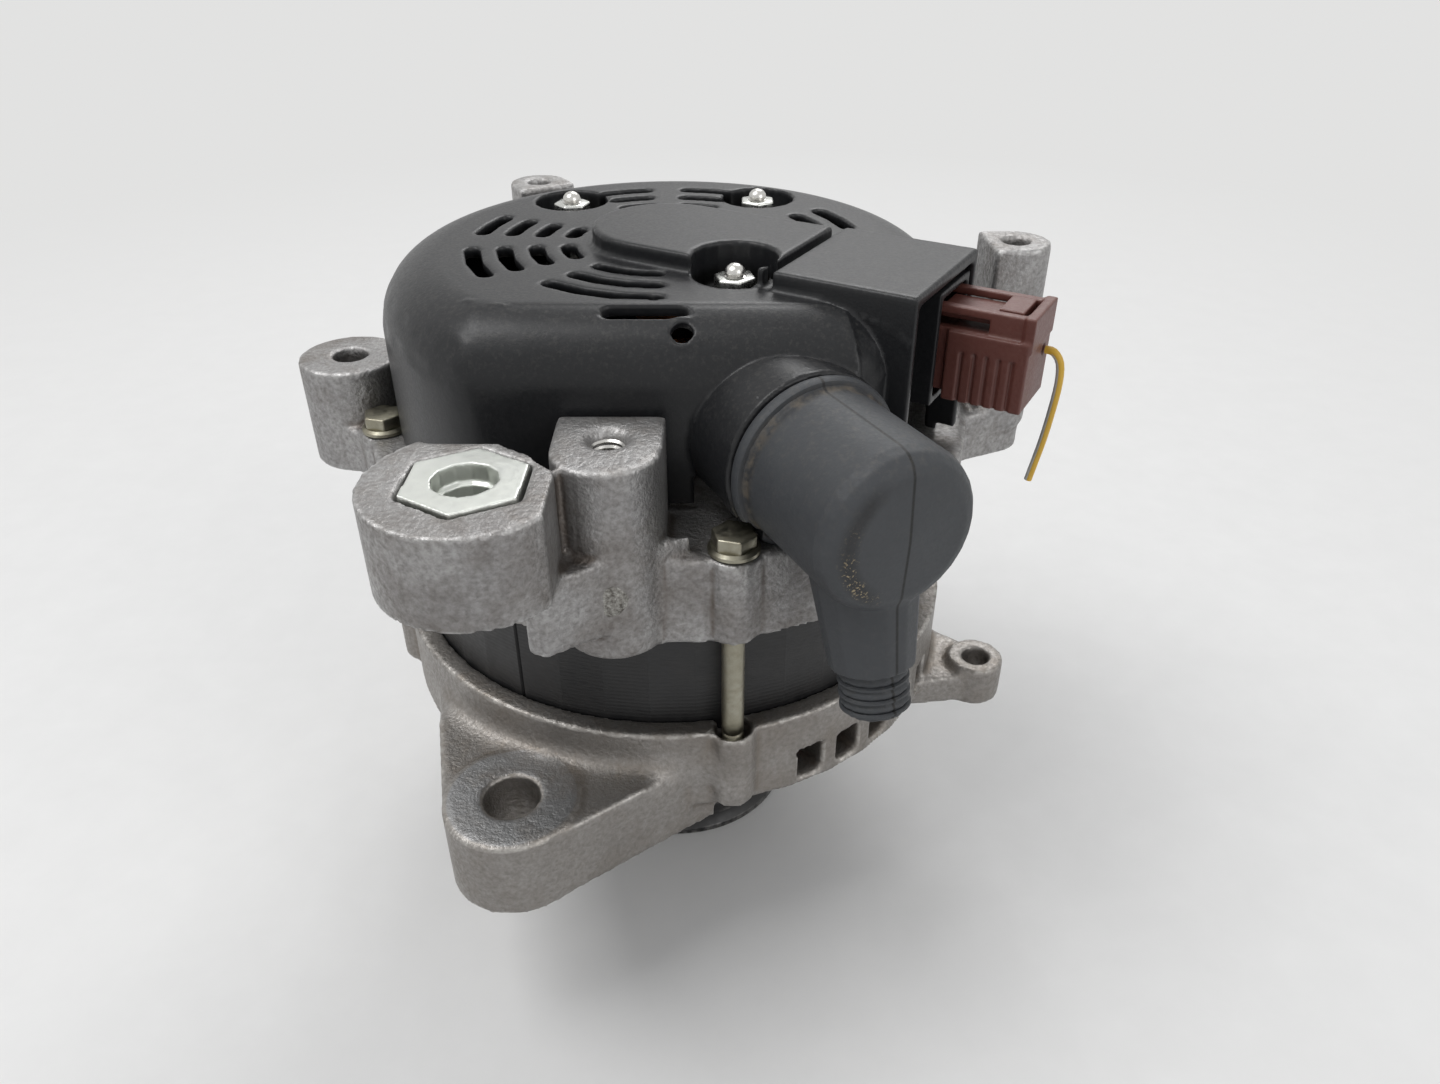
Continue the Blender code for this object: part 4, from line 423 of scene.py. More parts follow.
# %% Finishes
CAST_GREY = make_finish(
    "cast_grey", ((0.36, 0.355, 0.355), (0.45, 0.445, 0.44), (0.17, 0.16, 0.155)), (0.4, 0.6), metallic=0.9,
    grain_scale=950.0, grain=0.62, bump=0.0002, worn=((0.66, 0.655, 0.65), 0.52, 0.57),
    dusty=((0.17, 0.14, 0.11), 0.3, 150.0), dirt=(0.12, 0.1, 0.085))
CAST_WARM = make_finish(
    "cast_warm", ((0.29, 0.275, 0.26), (0.36, 0.345, 0.33), (0.16, 0.145, 0.13)), (0.38, 0.56), metallic=0.9,
    grain_scale=950.0, grain=0.5, bump=0.00015, worn=((0.62, 0.6, 0.57), 0.52, 0.57),
    dusty=((0.2, 0.15, 0.1), 0.35, 120.0), extra=spot_face, dirt=(0.21, 0.185, 0.16))
# The cover's finish paints shade inside its slots and stud pockets.
COVER_BLACK = make_finish(
    "cover_black", ((0.0115, 0.012, 0.0135), (0.015, 0.0155, 0.017), (0.022, 0.0225, 0.024)), (0.3, 0.42),
    metallic=0.0, grain_scale=1600.0, grain=0.25, bump=0.00002, worn=((0.035, 0.035, 0.036), 0.54, 0.66),
    dusty=((0.30, 0.28, 0.25), 0.1, 900.0), extra=painted_slot_shade)
CORE_BLACK = make_finish(
    "core_black", ((0.012, 0.012, 0.013), (0.02, 0.02, 0.021), (0.03, 0.029, 0.028)), (0.38, 0.55),
    metallic=0.1, grain_scale=700.0, grain=0.3, dusty=((0.12, 0.1, 0.08), 0.25, 200.0), extra=lamination_lines)
ZINC = make_finish(
    "zinc_plate", ((0.6, 0.61, 0.58), (0.68, 0.69, 0.67), (0.45, 0.45, 0.4)), (0.2, 0.36), metallic=1.0,
    grain_scale=800.0, grain=0.25, bump=0.00002, worn=((0.8, 0.8, 0.79), 0.53, 0.6),
    dusty=((0.3, 0.25, 0.16), 0.2, 250.0))
NUT_ZINC = make_finish(
    "nut_zinc", ((0.68, 0.7, 0.66), (0.75, 0.77, 0.74), (0.6, 0.61, 0.56)), (0.33, 0.45), metallic=1.0,
    grain_scale=700.0, grain=0.25)
OLIVE_ZINC = make_finish(
    "olive_zinc", ((0.27, 0.255, 0.19), (0.38, 0.365, 0.3), (0.19, 0.17, 0.12)), (0.3, 0.5), metallic=1.0,
    grain_scale=700.0, grain=0.35, bump=0.00002, dusty=((0.2, 0.15, 0.09), 0.3, 250.0))
BRIGHT_STEEL = make_finish(
    "bright_steel", ((0.62, 0.61, 0.58), (0.7, 0.69, 0.67), (0.5, 0.48, 0.45)), (0.18, 0.34), metallic=1.0,
    grain_scale=900.0, grain=0.25, bump=0.00001)
BROWN = make_finish(
    "brown_plastic_grain", ((0.105, 0.033, 0.025), (0.125, 0.04, 0.031), (0.15, 0.06, 0.048)), (0.38, 0.52),
    metallic=0.0, grain_scale=1500.0, grain=0.3, bump=0.00003, worn=((0.24, 0.11, 0.085), 0.53, 0.62),
    dusty=((0.3, 0.24, 0.18), 0.12, 300.0))
PULLEY_COAT = make_finish(
    "pulley_coat", ((0.02, 0.02, 0.021), (0.032, 0.032, 0.032), (0.05, 0.048, 0.045)), (0.3, 0.5), metallic=0.5,
    grain_scale=600.0, grain=0.3, bump=0.00002, worn=((0.4, 0.39, 0.37), 0.53, 0.6))
COPPER = make_finish(
    "copper_enamel", ((0.42, 0.16, 0.07), (0.5, 0.2, 0.09), (0.3, 0.1, 0.05)), (0.25, 0.4), metallic=1.0,
    grain_scale=500.0)
IRON = make_finish(
    "rotor_iron_grain", ((0.12, 0.115, 0.11), (0.18, 0.17, 0.16), (0.2, 0.14, 0.1)), (0.45, 0.65), metallic=0.9,
    grain_scale=400.0, grain=0.4, bump=0.00005)
CARBON = make_finish(
    "carbon_grain", ((0.02, 0.02, 0.02), (0.03, 0.03, 0.03), (0.06, 0.05, 0.05)), (0.5, 0.7), metallic=0.0,
    grain_scale=1200.0)
WIRE_YELLOW = make_finish(
    "wire_yellow", ((0.60, 0.35, 0.025), (0.68, 0.41, 0.04), (0.72, 0.48, 0.09)), (0.34, 0.46), metallic=0.0,
    grain_scale=500.0, grain=0.25, extra=pale_stripe)
BOOT = make_finish(
    "boot_rubber_bloom", ((0.034, 0.037, 0.042), (0.044, 0.048, 0.053), (0.055, 0.057, 0.06)), (0.5, 0.66),
    metallic=0.0, grain_scale=1300.0, grain=0.3, bump=0.00003, dusty=((0.22, 0.19, 0.15), 0.16, 700.0),
    extra=boot_marks)
wire_curve.materials.append(WIRE_YELLOW)
print("finishes:", len(bpy.data.materials))

# %% [markdown]
# The castings, the cover and the mouldings have soft edges all over. Their solids already have the right
# shape, so a copy is welded, remeshed into small even faces and smoothed: that rounds each edge as a mould
# does, and gives the wear mask fine faces to work on. Round walls are then pushed out from their flat facets
# to true circles, and two corners that are rounder than the rest are smoothed some more.

# %% Helpers for moulded copies
PUSH_LIMIT = 0.55 * MM
PUSH_FADE = 0.2 * MM
SMOOTH_FACTOR = 0.5


def select_only(obj):
    bpy.ops.object.select_all(action="DESELECT")
    obj.select_set(True)
    bpy.context.view_layer.objects.active = obj


def welded_copy(node, name):
    obj = bpy.data.objects.new(name, nodes[node].data.copy())
    bpy.context.scene.collection.objects.link(obj)
    select_only(obj)
    bpy.ops.object.mode_set(mode="EDIT")
    bpy.ops.mesh.select_all(action="SELECT")
    bpy.ops.mesh.remove_doubles(threshold=1e-6)
    bpy.ops.object.mode_set(mode="OBJECT")
    return obj


def apply_all(obj):
    select_only(obj)
    for modifier in list(obj.modifiers):
        bpy.ops.object.modifier_apply(modifier=modifier.name)


def dress(obj, finish, body, slot, *replaced):
    obj.data.materials.clear()
    obj.data.materials.append(finish)
    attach(obj, body)
    if replaced:
        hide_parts(*replaced)
    return obj


def vertex_places(obj):
    places = np.empty(len(obj.data.vertices) * 3)
    obj.data.vertices.foreach_get("co", places)
    return places.reshape(-1, 3)


def near_only(off):
    """Keeps a push that is small, and drops one that would move a vertex of another face."""
    return off * np.clip((PUSH_LIMIT - np.abs(off)) / PUSH_FADE, 0, 1)


def fit_round(obj, sides=(), edges=(), place=Matrix(), where=None):
    """Moves flat facets to true circles: sides are (radius, low, high) and are only pushed outward,
    edges are (centre radius, height, rounding)."""
    points = vertex_places(obj)
    into, back = np.array(place.inverted()), np.array(place)
    local = points @ into[:3, :3].T + into[:3, 3]
    chosen = np.ones(len(points)) if where is None else where(points)
    for radius, low, high in sides:
        reach = np.hypot(local[:, 0], local[:, 1])
        off = near_only(np.maximum(radius - reach, 0) * (local[:, 2] > low) * (local[:, 2] < high) * chosen)
        local[:, :2] *= (1 + off / np.maximum(reach, MM))[:, None]
    for centre, height, rounding in edges:
        reach = np.hypot(local[:, 0], local[:, 1])
        across, up = reach - centre, local[:, 2] - height
        out = np.maximum(np.hypot(across, up), 0.1 * MM)
        off = near_only((rounding - out) * (across > 0) * (up > 0) * chosen)
        moved = (centre + across * (1 + off / out)) / np.maximum(reach, MM)
        local[:, :2] *= np.where(off != 0, moved, 1)[:, None]
        local[:, 2] += up * off / out
    obj.data.vertices.foreach_set("co", (local @ back[:3, :3].T + back[:3, 3]).ravel())
    obj.data.update()


def moulded(node, finish, body, slot, voxel, rounds, thin=1.0, cutters=(), fills=()):
    """A copy of a solid with its edges rounded as a mould or a die rounds them."""
    obj = welded_copy(node, node + "_dressed")
    for cutter in (*fills, *cutters):
        bite = obj.modifiers.new(cutter.name, "BOOLEAN")
        bite.object = cutter
        bite.operation = "UNION" if cutter in fills else "DIFFERENCE"
    apply_all(obj)
    for cutter in (*fills, *cutters):
        bpy.data.objects.remove(cutter)
    remesh = obj.modifiers.new("even_faces", "REMESH")
    remesh.mode = "VOXEL"
    remesh.voxel_size = voxel
    smooth = obj.modifiers.new("soft_edges", "SMOOTH")
    smooth.factor = SMOOTH_FACTOR
    smooth.iterations = rounds
    if thin < 1:
        fewer = obj.modifiers.new("fewer_faces", "DECIMATE")
        fewer.ratio = thin
    apply_all(obj)
    bpy.ops.object.shade_smooth()
    print(node, "faces:", len(obj.data.polygons))
    return dress(obj, finish, body, slot, node)


def soften(obj, weight_at, rounds):
    """Extra smoothing where weight_at says so, for one corner that is rounder than the rest."""
    weights = weight_at(vertex_places(obj))
    group = obj.vertex_groups.new(name="softer")
    for i in np.nonzero(weights > 0.01)[0]:
        group.add([int(i)], float(weights[i]), "REPLACE")
    smooth = obj.modifiers.new("softer_corner", "SMOOTH")
    smooth.factor = SMOOTH_FACTOR
    smooth.iterations = rounds
    smooth.vertex_group = group.name
    apply_all(obj)
    obj.vertex_groups.clear()


def cone_cutter(name, radius, top_radius, z0, z1, x=0, y=0):
    """A round tool for cuts and fills, straight where both its radii are the same."""
    bpy.ops.object.select_all(action="DESELECT")
    bpy.ops.mesh.primitive_cone_add(vertices=48, radius1=radius, radius2=top_radius, depth=z1 - z0,
                                    location=(x, y, (z0 + z1) / 2))
    bpy.context.object.name = name
    return bpy.context.object


def turned_to(normal):
    """The turn that brings +Z to a normal."""
    return normal.to_track_quat("Z", "Y").to_matrix().to_4x4()


# %% [markdown]
# The two castings come first. The front lug runs into its ring with a fillet, and the square boss gets a
# countersink.

# %% Castings
CAST_VOXEL = 0.75 * MM
CAST_ROUNDS = 6
DRIVE_R = 69 * MM
REAR_R = 70.5 * MM
FRONT_LUG_R = 14.5 * MM
REAR_LUG_R = 18.7 * MM
FILLET_Z = 64 * MM
FILLET_ROUNDS = 140
lug_axis = Matrix.Translation((*FRONT_LUG, 0))


def near_lug_fillet(at):
    """1 along the corner between the ring and the front lug, fading out a few millimetres away."""
    from_corner = np.hypot(np.hypot(at[:, 0], at[:, 1]) - DRIVE_R, at[:, 2] - FILLET_Z)
    near_lug = np.hypot(at[:, 0] - FRONT_LUG[0], at[:, 1] - FRONT_LUG[1]) < 50 * MM
    return np.clip(1.5 - from_corner / (4 * MM), 0, 1) * near_lug


drive_frame = moulded("drive_end_frame", CAST_WARM, "housing", "cast_aluminium", CAST_VOXEL, CAST_ROUNDS)
fit_round(drive_frame, sides=[(DRIVE_R, 50 * MM, 74 * MM)])
fit_round(drive_frame, sides=[(FRONT_LUG_R, 45 * MM, 66 * MM)], place=lug_axis)
soften(drive_frame, near_lug_fillet, FILLET_ROUNDS)
boss_chamfer = cone_cutter("boss_chamfer", 3.3 * MM, 4.9 * MM, 139.9 * MM, 141.7 * MM, *BOSS_HOLE)
rear_frame = moulded("rear_end_frame", CAST_GREY, "housing", "cast_aluminium", CAST_VOXEL, CAST_ROUNDS,
                     cutters=[boss_chamfer])
fit_round(rear_frame, sides=[(REAR_R, 99 * MM, 119 * MM)])
fit_round(rear_frame, sides=[(REAR_LUG_R, 120 * MM, 142 * MM)], place=lug_axis)

# %% [markdown]
# The cover's drain hole stands square to its rounded shoulder, so the solid's own hole is filled and cut
# again along the shoulder's normal. The cover's left front corner is softer than its other edges.

# %% Cover
SHOULDER = Vector((0, FLAT_Y + EDGE_R, COVER_TOP - EDGE_R))
DRAIN_X = 4.7 * MM
DRAIN_R = 2.1 * MM
DRAIN_FILL_R = 3.6 * MM
TERMINAL_TUBE_R = 18 * MM
CORNER_X = -math.sqrt(COVER_R ** 2 - FLAT_Y ** 2)
CORNER_ROUNDS = 160


def on_shoulder(at):
    return (at[:, 1] < SHOULDER.y) & (at[:, 2] > SHOULDER.z)


def near_left_corner(at):
    from_corner = np.hypot(at[:, 0] - CORNER_X, at[:, 1] - FLAT_Y)
    return np.clip(1.6 - from_corner / (8 * MM), 0, 1) * (at[:, 2] > 121.5 * MM)


drain_out = Vector((0, -9, 10.7)).normalized()
drain_place = Matrix.Translation(SHOULDER + Vector((DRAIN_X, 0, 0)) + EDGE_R * drain_out) @ turned_to(drain_out)
drain_fill = cone_cutter("drain_fill", DRAIN_FILL_R, DRAIN_FILL_R, -2.4 * MM, -0.1 * MM)
drain_hole = cone_cutter("drain_hole", DRAIN_R, DRAIN_R, -6 * MM, 3 * MM)
for tool in (drain_fill, drain_hole):
    tool.matrix_world = drain_place @ tool.matrix_basis
cover = moulded("rear_cover", COVER_BLACK, "housing", "black_plastic", 0.55 * MM, 3, 0.55, [drain_hole],
                [drain_fill])
fit_round(cover, sides=[(COVER_R, 120 * MM, COVER_TOP - EDGE_R)],
          edges=[(COVER_R - EDGE_R, COVER_TOP - EDGE_R, EDGE_R)])
fit_round(cover, sides=[(TERMINAL_TUBE_R, 45 * MM, 64 * MM)], place=ALONG_TERMINAL)
shoulder_line = Matrix.Translation(SHOULDER) @ Matrix.Rotation(math.radians(90), 4, "Y")
fit_round(cover, sides=[(EDGE_R, -60 * MM, 60 * MM)], place=shoulder_line, where=on_shoulder)
soften(cover, near_left_corner, CORNER_ROUNDS)

# %% [markdown]
# The smaller mouldings follow. The captive nut's copy is made a little smaller about its top, so that the gap
# round it shows and it clears its rounded pocket when it slides.

# %% Boot, plug, captive nut and regulator
BOOT_R = 16 * MM
NUT_SHRINK = 0.973
NUT_SHORTEN = 0.95
boot = moulded("terminal_boot", BOOT, "housing", "boot_rubber", 0.45 * MM, 4)
fit_round(boot, sides=[(BOOT_R, 68 * MM, 92 * MM)], place=ALONG_TERMINAL)
moulded("connector_plug", BROWN, "plug", "brown_plastic", 0.3 * MM, 3)
moulded("plug_lock_lever", BROWN, "lever", "brown_plastic", 0.25 * MM, 3)
lug_nut = moulded("lug_slide_nut", NUT_ZINC, "slide_nut", "zinc_steel", 0.3 * MM, 3)
nut_top = Matrix.Translation((*FRONT_LUG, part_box("lug_slide_nut")[1][2]))
nut_size = Matrix.Diagonal((NUT_SHRINK, NUT_SHRINK, NUT_SHORTEN, 1))
lug_nut.data.transform(nut_top @ nut_size @ nut_top.inverted())
moulded("voltage_regulator", COVER_BLACK, "housing", "black_plastic", 0.5 * MM, 3)

# %% [markdown]
# Turned pieces start as one vertex that is extruded along a profile, then spun about the shaft. The pulley's
# ribs, the threads and the bolts are all made so.

# %% Helpers for turned pieces
SHARP_ANGLE = math.radians(32)


def lathe(name, profile, steps=72):
    """A profile of (radius, height) points spun about Z."""
    bpy.ops.object.select_all(action="DESELECT")
    bpy.ops.mesh.primitive_plane_add(size=1 * MM, location=(0, 0, 0))
    obj = bpy.context.object
    obj.name = obj.data.name = name
    bpy.ops.object.mode_set(mode="EDIT")
    bpy.ops.mesh.select_all(action="SELECT")
    bpy.ops.mesh.merge(type="CENTER")
    bpy.ops.transform.translate(value=(profile[0][0], 0, profile[0][1]))
    for (r0, z0), (r1, z1) in zip(profile, profile[1:]):
        bpy.ops.mesh.extrude_region_move(TRANSFORM_OT_translate={"value": (r1 - r0, 0, z1 - z0)})
    bpy.ops.mesh.select_all(action="SELECT")
    bpy.ops.mesh.spin(steps=steps, angle=2 * math.pi, center=(0, 0, 0), axis=(0, 0, 1))
    bpy.ops.mesh.select_all(action="SELECT")
    bpy.ops.mesh.remove_doubles(threshold=2e-6)
    bpy.ops.mesh.normals_make_consistent(inside=False)
    bpy.ops.object.mode_set(mode="OBJECT")
    bpy.ops.object.shade_smooth_by_angle(angle=SHARP_ANGLE)
    return obj


def in_mm(points, base=0.0):
    """A profile written in millimetres, its heights counted from a base in metres."""
    return [(r * MM, base + z * MM) for r, z in points]


def thread(radius, depth, pitch, top, bottom):
    """The zigzag side of a thread, from its top down."""
    points = []
    count = int((top - bottom) / pitch)
    for i in range(count):
        points += [(radius, top - i * pitch), (radius - depth, top - (i + 0.5) * pitch)]
    return points + [(radius, top - count * pitch)]


def move_mesh(obj, matrix):
    obj.data.transform(matrix)
    obj.data.update()
    return obj


def hexagon_head(name, across_flats, z0, z1, edge, turn):
    """A six-sided head with its edges broken."""
    bpy.ops.object.select_all(action="DESELECT")
    bpy.ops.mesh.primitive_cylinder_add(vertices=6, radius=across_flats / math.sqrt(3), depth=z1 - z0,
                                        location=(0, 0, (z0 + z1) / 2), rotation=(0, 0, math.radians(turn)))
    obj = bpy.context.object
    obj.name = obj.data.name = name
    bpy.ops.object.transform_apply(location=True, rotation=True, scale=True)
    bpy.ops.object.mode_set(mode="EDIT")
    bpy.ops.mesh.select_all(action="SELECT")
    bpy.ops.mesh.bevel(offset=edge, segments=3, affect="EDGES")
    bpy.ops.object.mode_set(mode="OBJECT")
    bpy.ops.object.shade_smooth_by_angle(angle=SHARP_ANGLE)
    return obj


def joined(first, *others):
    bpy.ops.object.select_all(action="DESELECT")
    for obj in (first, *others):
        obj.select_set(True)
    bpy.context.view_layer.objects.active = first
    bpy.ops.object.join()
    return first


# %% Pulley
RIBS = 6
RIB_PITCH = 3.56 * MM
RIB_TIP_R = 30.1 * MM
RIB_ROOT_R = 27.9 * MM
PULLEY_W = 27 * MM
PULLEY_R = 30.5 * MM
PULLEY_FACE_R = 29.7 * MM
PULLEY_BORE_R = 8.8 * MM
HOLLOW_R = 17.5 * MM
HOLLOW_DEPTH = 14 * MM
ribs_top = (PULLEY_W + RIBS * RIB_PITCH) / 2
ribs_bottom = ribs_top - RIBS * RIB_PITCH
pulley_side = [(PULLEY_BORE_R, PULLEY_W), (PULLEY_FACE_R, PULLEY_W), (PULLEY_R, PULLEY_W - 0.6 * MM),
               (PULLEY_R, ribs_top + 0.5 * MM)]
for i in range(RIBS):
    top = ribs_top - i * RIB_PITCH
    pulley_side += [(RIB_TIP_R, top), (RIB_ROOT_R, top - 1.5 * MM), (RIB_ROOT_R, top - 2.06 * MM)]
pulley_side += [(RIB_TIP_R, ribs_bottom), (PULLEY_R, ribs_bottom - 0.6 * MM), (PULLEY_R, 0.8 * MM),
                (PULLEY_FACE_R, 0), (HOLLOW_R + 0.7 * MM, 0), (HOLLOW_R, 0.7 * MM), (HOLLOW_R, HOLLOW_DEPTH),
                (PULLEY_BORE_R, HOLLOW_DEPTH), (PULLEY_BORE_R, PULLEY_W)]
dress(lathe("pulley_dressed", pulley_side, 120), PULLEY_COAT, "rotor", "pulley_black", "pulley")

# %% [markdown]
# The through bolts and the cover's studs and nuts are all of one thread size. Heights of a bolt's washer are
# counted from its seat.

# %% Bolts, studs and nuts
M5_THREAD = (2.4 * MM, 0.35 * MM, 0.8 * MM)
M5_FLATS = 8 * MM
BOLT_SEAT = 119.3 * MM
WASHER_SIDE = [(0, 1.4), (4.6, 1.3), (5.2, 0.7), (5.2, 0), (2.4, 0)]
STUD_TIP = [(0, 160.8), (0.8, 160.7), (1.5, 160.3), (2.0, 159.7), (2.2, 159.1), (1.9, 158.5)]
STUD_FOOT = [(2.4, 115), (0, 115)]
NUT_FLANGE = [(2.5, 155.3), (4.2, 155.1), (5.2, 154.3), (5.2, 153.6), (2.5, 153.6)]
COVER_STUDS = [(26.6, -55.7), (41.7, 127.1), (41.7, 59.2)]

for i in range(BOLTS):
    bolt_side = in_mm(WASHER_SIDE, BOLT_SEAT) + thread(*M5_THREAD, 73 * MM, 58.5 * MM) + in_mm([(0, 58.2)])
    shank = lathe(f"bolt_shank_{i}", bolt_side, 28)
    head = hexagon_head(f"bolt_head_{i}", M5_FLATS, BOLT_SEAT + 1 * MM, BOLT_SEAT + 4 * MM, 0.4 * MM, 15)
    bolt = joined(shank, head)
    bolt.name = f"through_bolt_{i + 1}_dressed"
    move_mesh(bolt, Matrix.Translation((*bolt_place(i), 0)))
    dress(bolt, OLIVE_ZINC, "housing", "zinc_steel", f"through_bolt_{i + 1}")

for i, (reach, degrees) in enumerate(COVER_STUDS):
    place = Matrix.Rotation(math.radians(degrees), 4, "Z") @ Matrix.Translation((reach * MM, 0, 0))
    stud_side = in_mm(STUD_TIP) + thread(*M5_THREAD, 158.3 * MM, 148 * MM) + in_mm(STUD_FOOT)
    stud = lathe(f"cover_stud_{i + 1}_dressed", stud_side, 32)
    dress(move_mesh(stud, place), BRIGHT_STEEL, "housing", "zinc_steel", f"cover_stud_{i + 1}")
    flange = lathe(f"nut_flange_{i}", in_mm(NUT_FLANGE), 40)
    head = hexagon_head(f"nut_head_{i}", M5_FLATS, 154.3 * MM, 158.2 * MM, 0.5 * MM, 10 + 25 * i)
    nut = joined(flange, head)
    nut.name = f"cover_nut_{i + 1}_dressed"
    dress(move_mesh(nut, place), ZINC, "housing", "zinc_steel", f"cover_nut_{i + 1}")

# %% [markdown]
# The captive nut and the square boss are tapped: a thread is spun inside each bore, so that turns show down
# the hole. A negative depth cuts outward.

# %% Threads in the captive nut and the boss
nut_side = in_mm([(5.9, 137)]) + thread(5.15 * MM, -0.7 * MM, 1.5 * MM, 136.5 * MM, 123 * MM)
nut_thread = lathe("lug_nut_thread", nut_side + in_mm([(5.9, 122.6)]), 48)
dress(move_mesh(nut_thread, lug_axis), NUT_ZINC, "slide_nut", "zinc_steel")

boss_side = in_mm([(3.4, 139.4)]) + thread(2.9 * MM, -0.5 * MM, 1.25 * MM, 139 * MM, 123 * MM)
boss_thread = lathe("boss_thread", boss_side + in_mm([(3.4, 122.6)]), 40)
move_mesh(boss_thread, Matrix.Translation((*BOSS_HOLE, 0)))
dress(boss_thread, BRIGHT_STEEL, "housing", "cast_aluminium")

# %% [markdown]
# The boot starts with a rolled lip, which gives way to the head of the nearest bolt. Its sleeve ends in close
# ribs that let the cable bend: rings between the moulded ribs make them close.

# %% Lip and ribs of the boot
LIP_SIDE = [(15.4, 64.7), (17.0, 64.7), (17.5, 65.0), (17.8, 65.7), (17.8, 66.7), (17.4, 67.4), (16.7, 67.6),
            (15.4, 67.6), (15.4, 64.7)]
BOLT_ROOM_R = 5.5 * MM
SLEEVE_X = 81.5 * MM
SLEEVE_LEAN = math.atan2(11, 42)
FIRST_RIB = 34.9 * MM
RIB_STEP = 2.8 * MM
RIB_SIDE = [(5.6, 0.45), (6.5, 0.45), (6.9, 0.2), (6.9, -0.2), (6.5, -0.45), (5.6, -0.45), (5.6, 0.45)]

lip = move_mesh(lathe("boot_lip", in_mm(LIP_SIDE), 96), ALONG_TERMINAL)
bolt_room = cone_cutter("bolt_room", BOLT_ROOM_R, BOLT_ROOM_R, 110 * MM, 126 * MM, *bolt_place(0))
room = lip.modifiers.new("bolt_room", "BOOLEAN")
room.object = bolt_room
apply_all(lip)
bpy.data.objects.remove(bolt_room)
dress(lip, BOOT, "housing", "boot_rubber")
sleeve_line = TERMINAL_TURN @ Matrix.Translation((SLEEVE_X, 0, 0)) @ Matrix.Rotation(-SLEEVE_LEAN, 4, "Y")
for i in range(3):
    rib = lathe(f"sleeve_rib_{i + 1}", in_mm(RIB_SIDE, -(FIRST_RIB + RIB_STEP * i)), 40)
    dress(move_mesh(rib, sleeve_line), BOOT, "housing", "boot_rubber")

# %% [markdown]
# A die pushes its casting out with pins, and each pin leaves a rough round mark. One shows under the square
# boss: a ray from the camera's place finds the spot on the casting, and a low disc is laid on it there.

# %% Ejector mark
MARK_RAY = Vector((-0.1009, 0.8097, -0.5896))
MARK_SIDE = [(0, 0.3), (2.8, 0.3), (3.3, 0.1), (3.5, -0.3), (3.5, -0.8), (0, -0.8)]
PIN_MARK = make_finish(
    "pin_mark", ((0.36, 0.355, 0.33), (0.46, 0.45, 0.42), (0.07, 0.06, 0.05)), (0.4, 0.6), metallic=0.9,
    grain_scale=1300.0, grain=0.9, bump=0.0005)
bpy.context.view_layer.update()
hit, mark_place, mark_normal, _ = rear_frame.ray_cast(Vector(CAMERA_PLACE), MARK_RAY)
print("mark found:", hit)
mark = lathe("ejector_mark", in_mm(MARK_SIDE), 40)
move_mesh(mark, Matrix.Translation(mark_place) @ turned_to(mark_normal))
dress(mark, PIN_MARK, "housing", "cast_aluminium")

# %% [markdown]
# The stator keeps its own solid shape; a welded copy takes smooth sides between its weld grooves. What shows
# only through vents keeps its solid, with a finish of its own.

# %% Stator and inner pieces
stator = welded_copy("stator_core", "stator_core_dressed")
bpy.ops.object.shade_smooth_by_angle(angle=math.radians(20))
dress(stator, CORE_BLACK, "housing", "black_core", "stator_core")

BY_SLOT = {"cast_aluminium": CAST_GREY, "zinc_steel": BRIGHT_STEEL, "black_plastic": COVER_BLACK,
           "black_core": CORE_BLACK, "boot_rubber": BOOT, "brown_plastic": BROWN, "wire_jacket": WIRE_YELLOW,
           "copper": COPPER, "carbon": CARBON, "pulley_black": PULLEY_COAT, "rotor_iron": IRON}
for part in frame["record"]["subparts"]:
    obj = nodes[part["node"]]
    obj.data.materials.clear()
    obj.data.materials.append(BY_SLOT[part["material_slot"]])
print("inner solids dressed")

# %% [markdown]
# The floor is plain and pale, and fades into the backdrop's colour far from the part, so that no edge shows.
# The world gives that colour to the camera and to what mirrors it, and a weaker sky to everything else, which
# only fills the shadows.

# %% Floor and backdrop
BACKDROP = (0.76, 0.76, 0.755)
FLOOR_SIZE = 6
FADE_FROM = 0.25
FADE_TO = 0.8
SKY_COLOUR = (0.95, 0.97, 1.0)
SKY_STRENGTH = 0.42


def seen_rays(tree):
    """1 for rays from the camera, and for what metal and glass mirror or pass on."""
    rays = tree.nodes.new("ShaderNodeLightPath")
    total = rays.outputs["Is Camera Ray"]
    for kind in ("Is Glossy Ray", "Is Transmission Ray"):
        node = tree.nodes.new("ShaderNodeMath")
        node.operation = "MAXIMUM"
        link(tree, total, node.inputs[0])
        link(tree, rays.outputs[kind], node.inputs[1])
        total = node.outputs[0]
    return total


def mix_shaders(tree, factor, first, second, output):
    node = tree.nodes.new("ShaderNodeMixShader")
    link(tree, factor, node.inputs[0])
    link(tree, first.outputs[0], node.inputs[1])
    link(tree, second.outputs[0], node.inputs[2])
    link(tree, node.outputs[0], tree.nodes[output].inputs["Surface"])


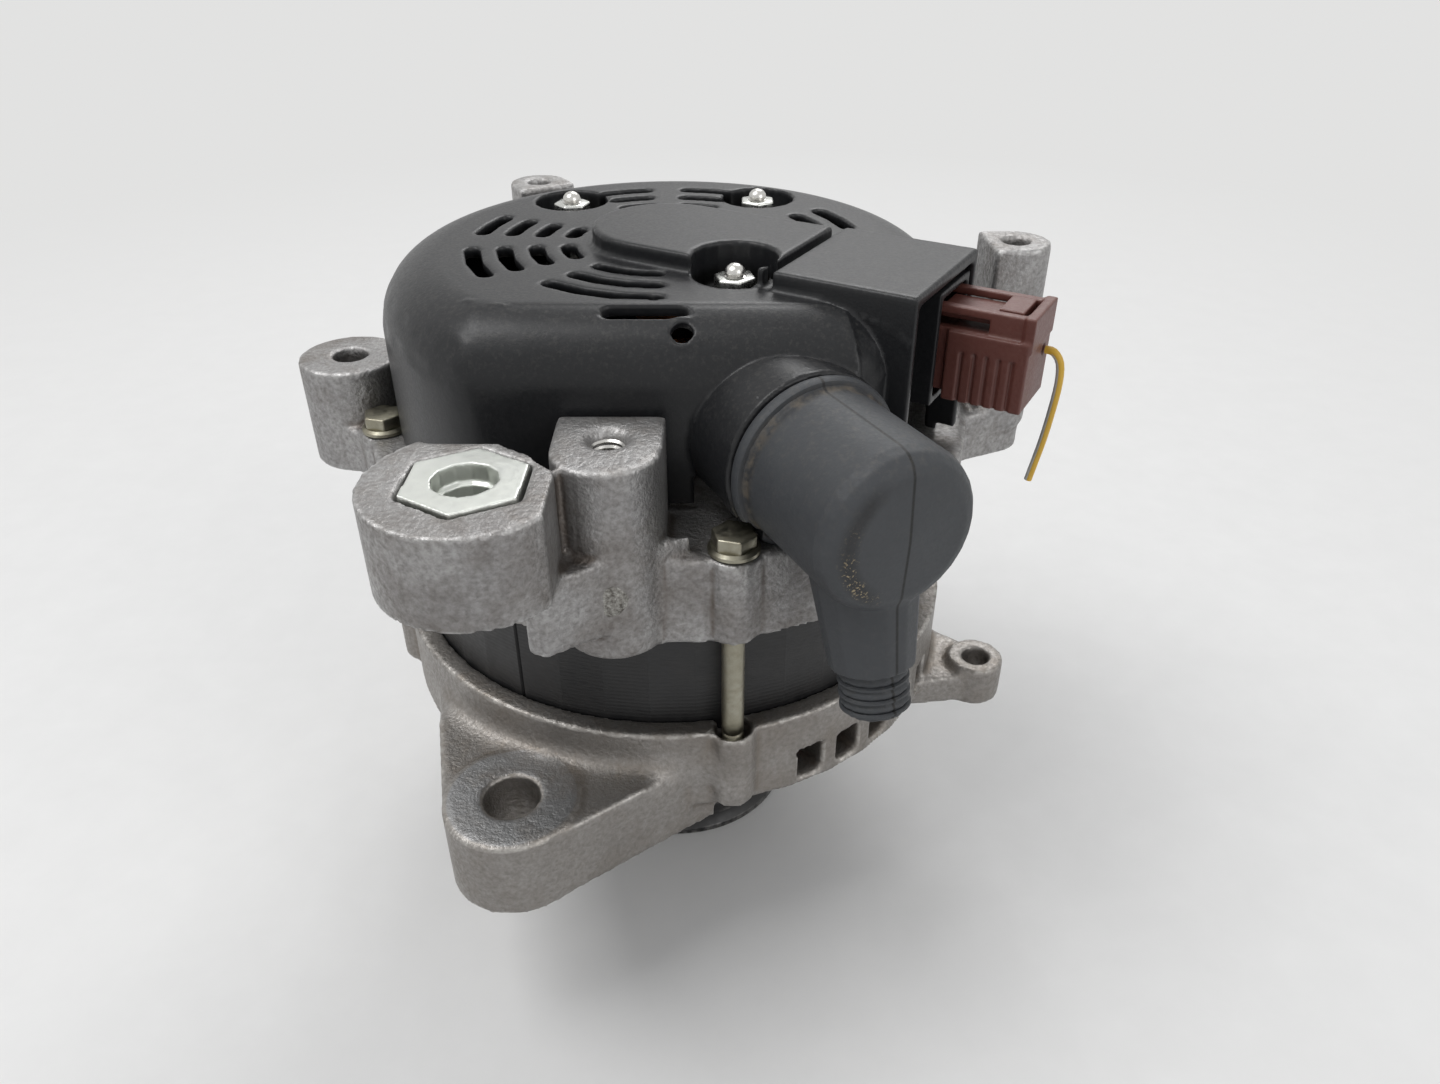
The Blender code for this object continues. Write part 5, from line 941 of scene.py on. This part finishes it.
bpy.ops.object.select_all(action="DESELECT")
bpy.ops.mesh.primitive_plane_add(size=FLOOR_SIZE, location=(0, 0, 0))
floor = bpy.context.object
floor.name = "floor"
floor_finish = make_finish(
    "pale_floor", ((0.78, 0.775, 0.765), (0.8, 0.795, 0.785), (0.76, 0.755, 0.745)), (0.7, 0.85), metallic=0.0,
    grain_scale=120.0, grain=0.2)
floor.data.materials.append(floor_finish)
floor_tree = floor_finish.node_tree
backdrop = floor_tree.nodes.new("ShaderNodeEmission")
backdrop.inputs["Color"].default_value = (*BACKDROP, 1)
far_away = ramp(floor_tree, distance_from(floor_tree, 0, 0), FADE_FROM, FADE_TO)
mix_shaders(floor_tree, times(floor_tree, far_away, seen_rays(floor_tree)), floor_tree.nodes["Principled BSDF"],
            backdrop, "Material Output")

world = bpy.data.worlds.new("studio")
bpy.context.scene.world = world
world.use_nodes = True
sky = world.node_tree.nodes["Background"]
sky.inputs["Color"].default_value = (*SKY_COLOUR, 1)
sky.inputs["Strength"].default_value = SKY_STRENGTH
wall = world.node_tree.nodes.new("ShaderNodeBackground")
wall.inputs["Color"].default_value = (*BACKDROP, 1)
mix_shaders(world.node_tree, seen_rays(world.node_tree), sky, wall, "World Output")

# %% [markdown]
# Three large soft lamps: the main one high on the left, one behind, and a weaker one at the front right.

# %% Lamps


def soft_lamp(name, place, aim, size, power):
    bpy.ops.object.select_all(action="DESELECT")
    bpy.ops.object.light_add(type="AREA", location=place)
    lamp = bpy.context.object
    lamp.name = name
    lamp.data.size = size
    lamp.data.energy = power
    lamp.rotation_euler = (Vector(aim) - Vector(place)).to_track_quat("-Z", "Y").to_euler()


soft_lamp("key_lamp", (-0.7, -0.2, 1.5), (0, 0, 0.1), 0.9, 12)
soft_lamp("back_lamp", (0.3, 1.2, 1.3), (0, 0, 0.13), 0.9, 10)
soft_lamp("fill_lamp", (1.0, -0.9, 0.8), (0, 0, 0.1), 0.8, 4)

# %% [markdown]
# Last, the view layer is brought up to date.

# %% Finish
bpy.context.view_layer.update()
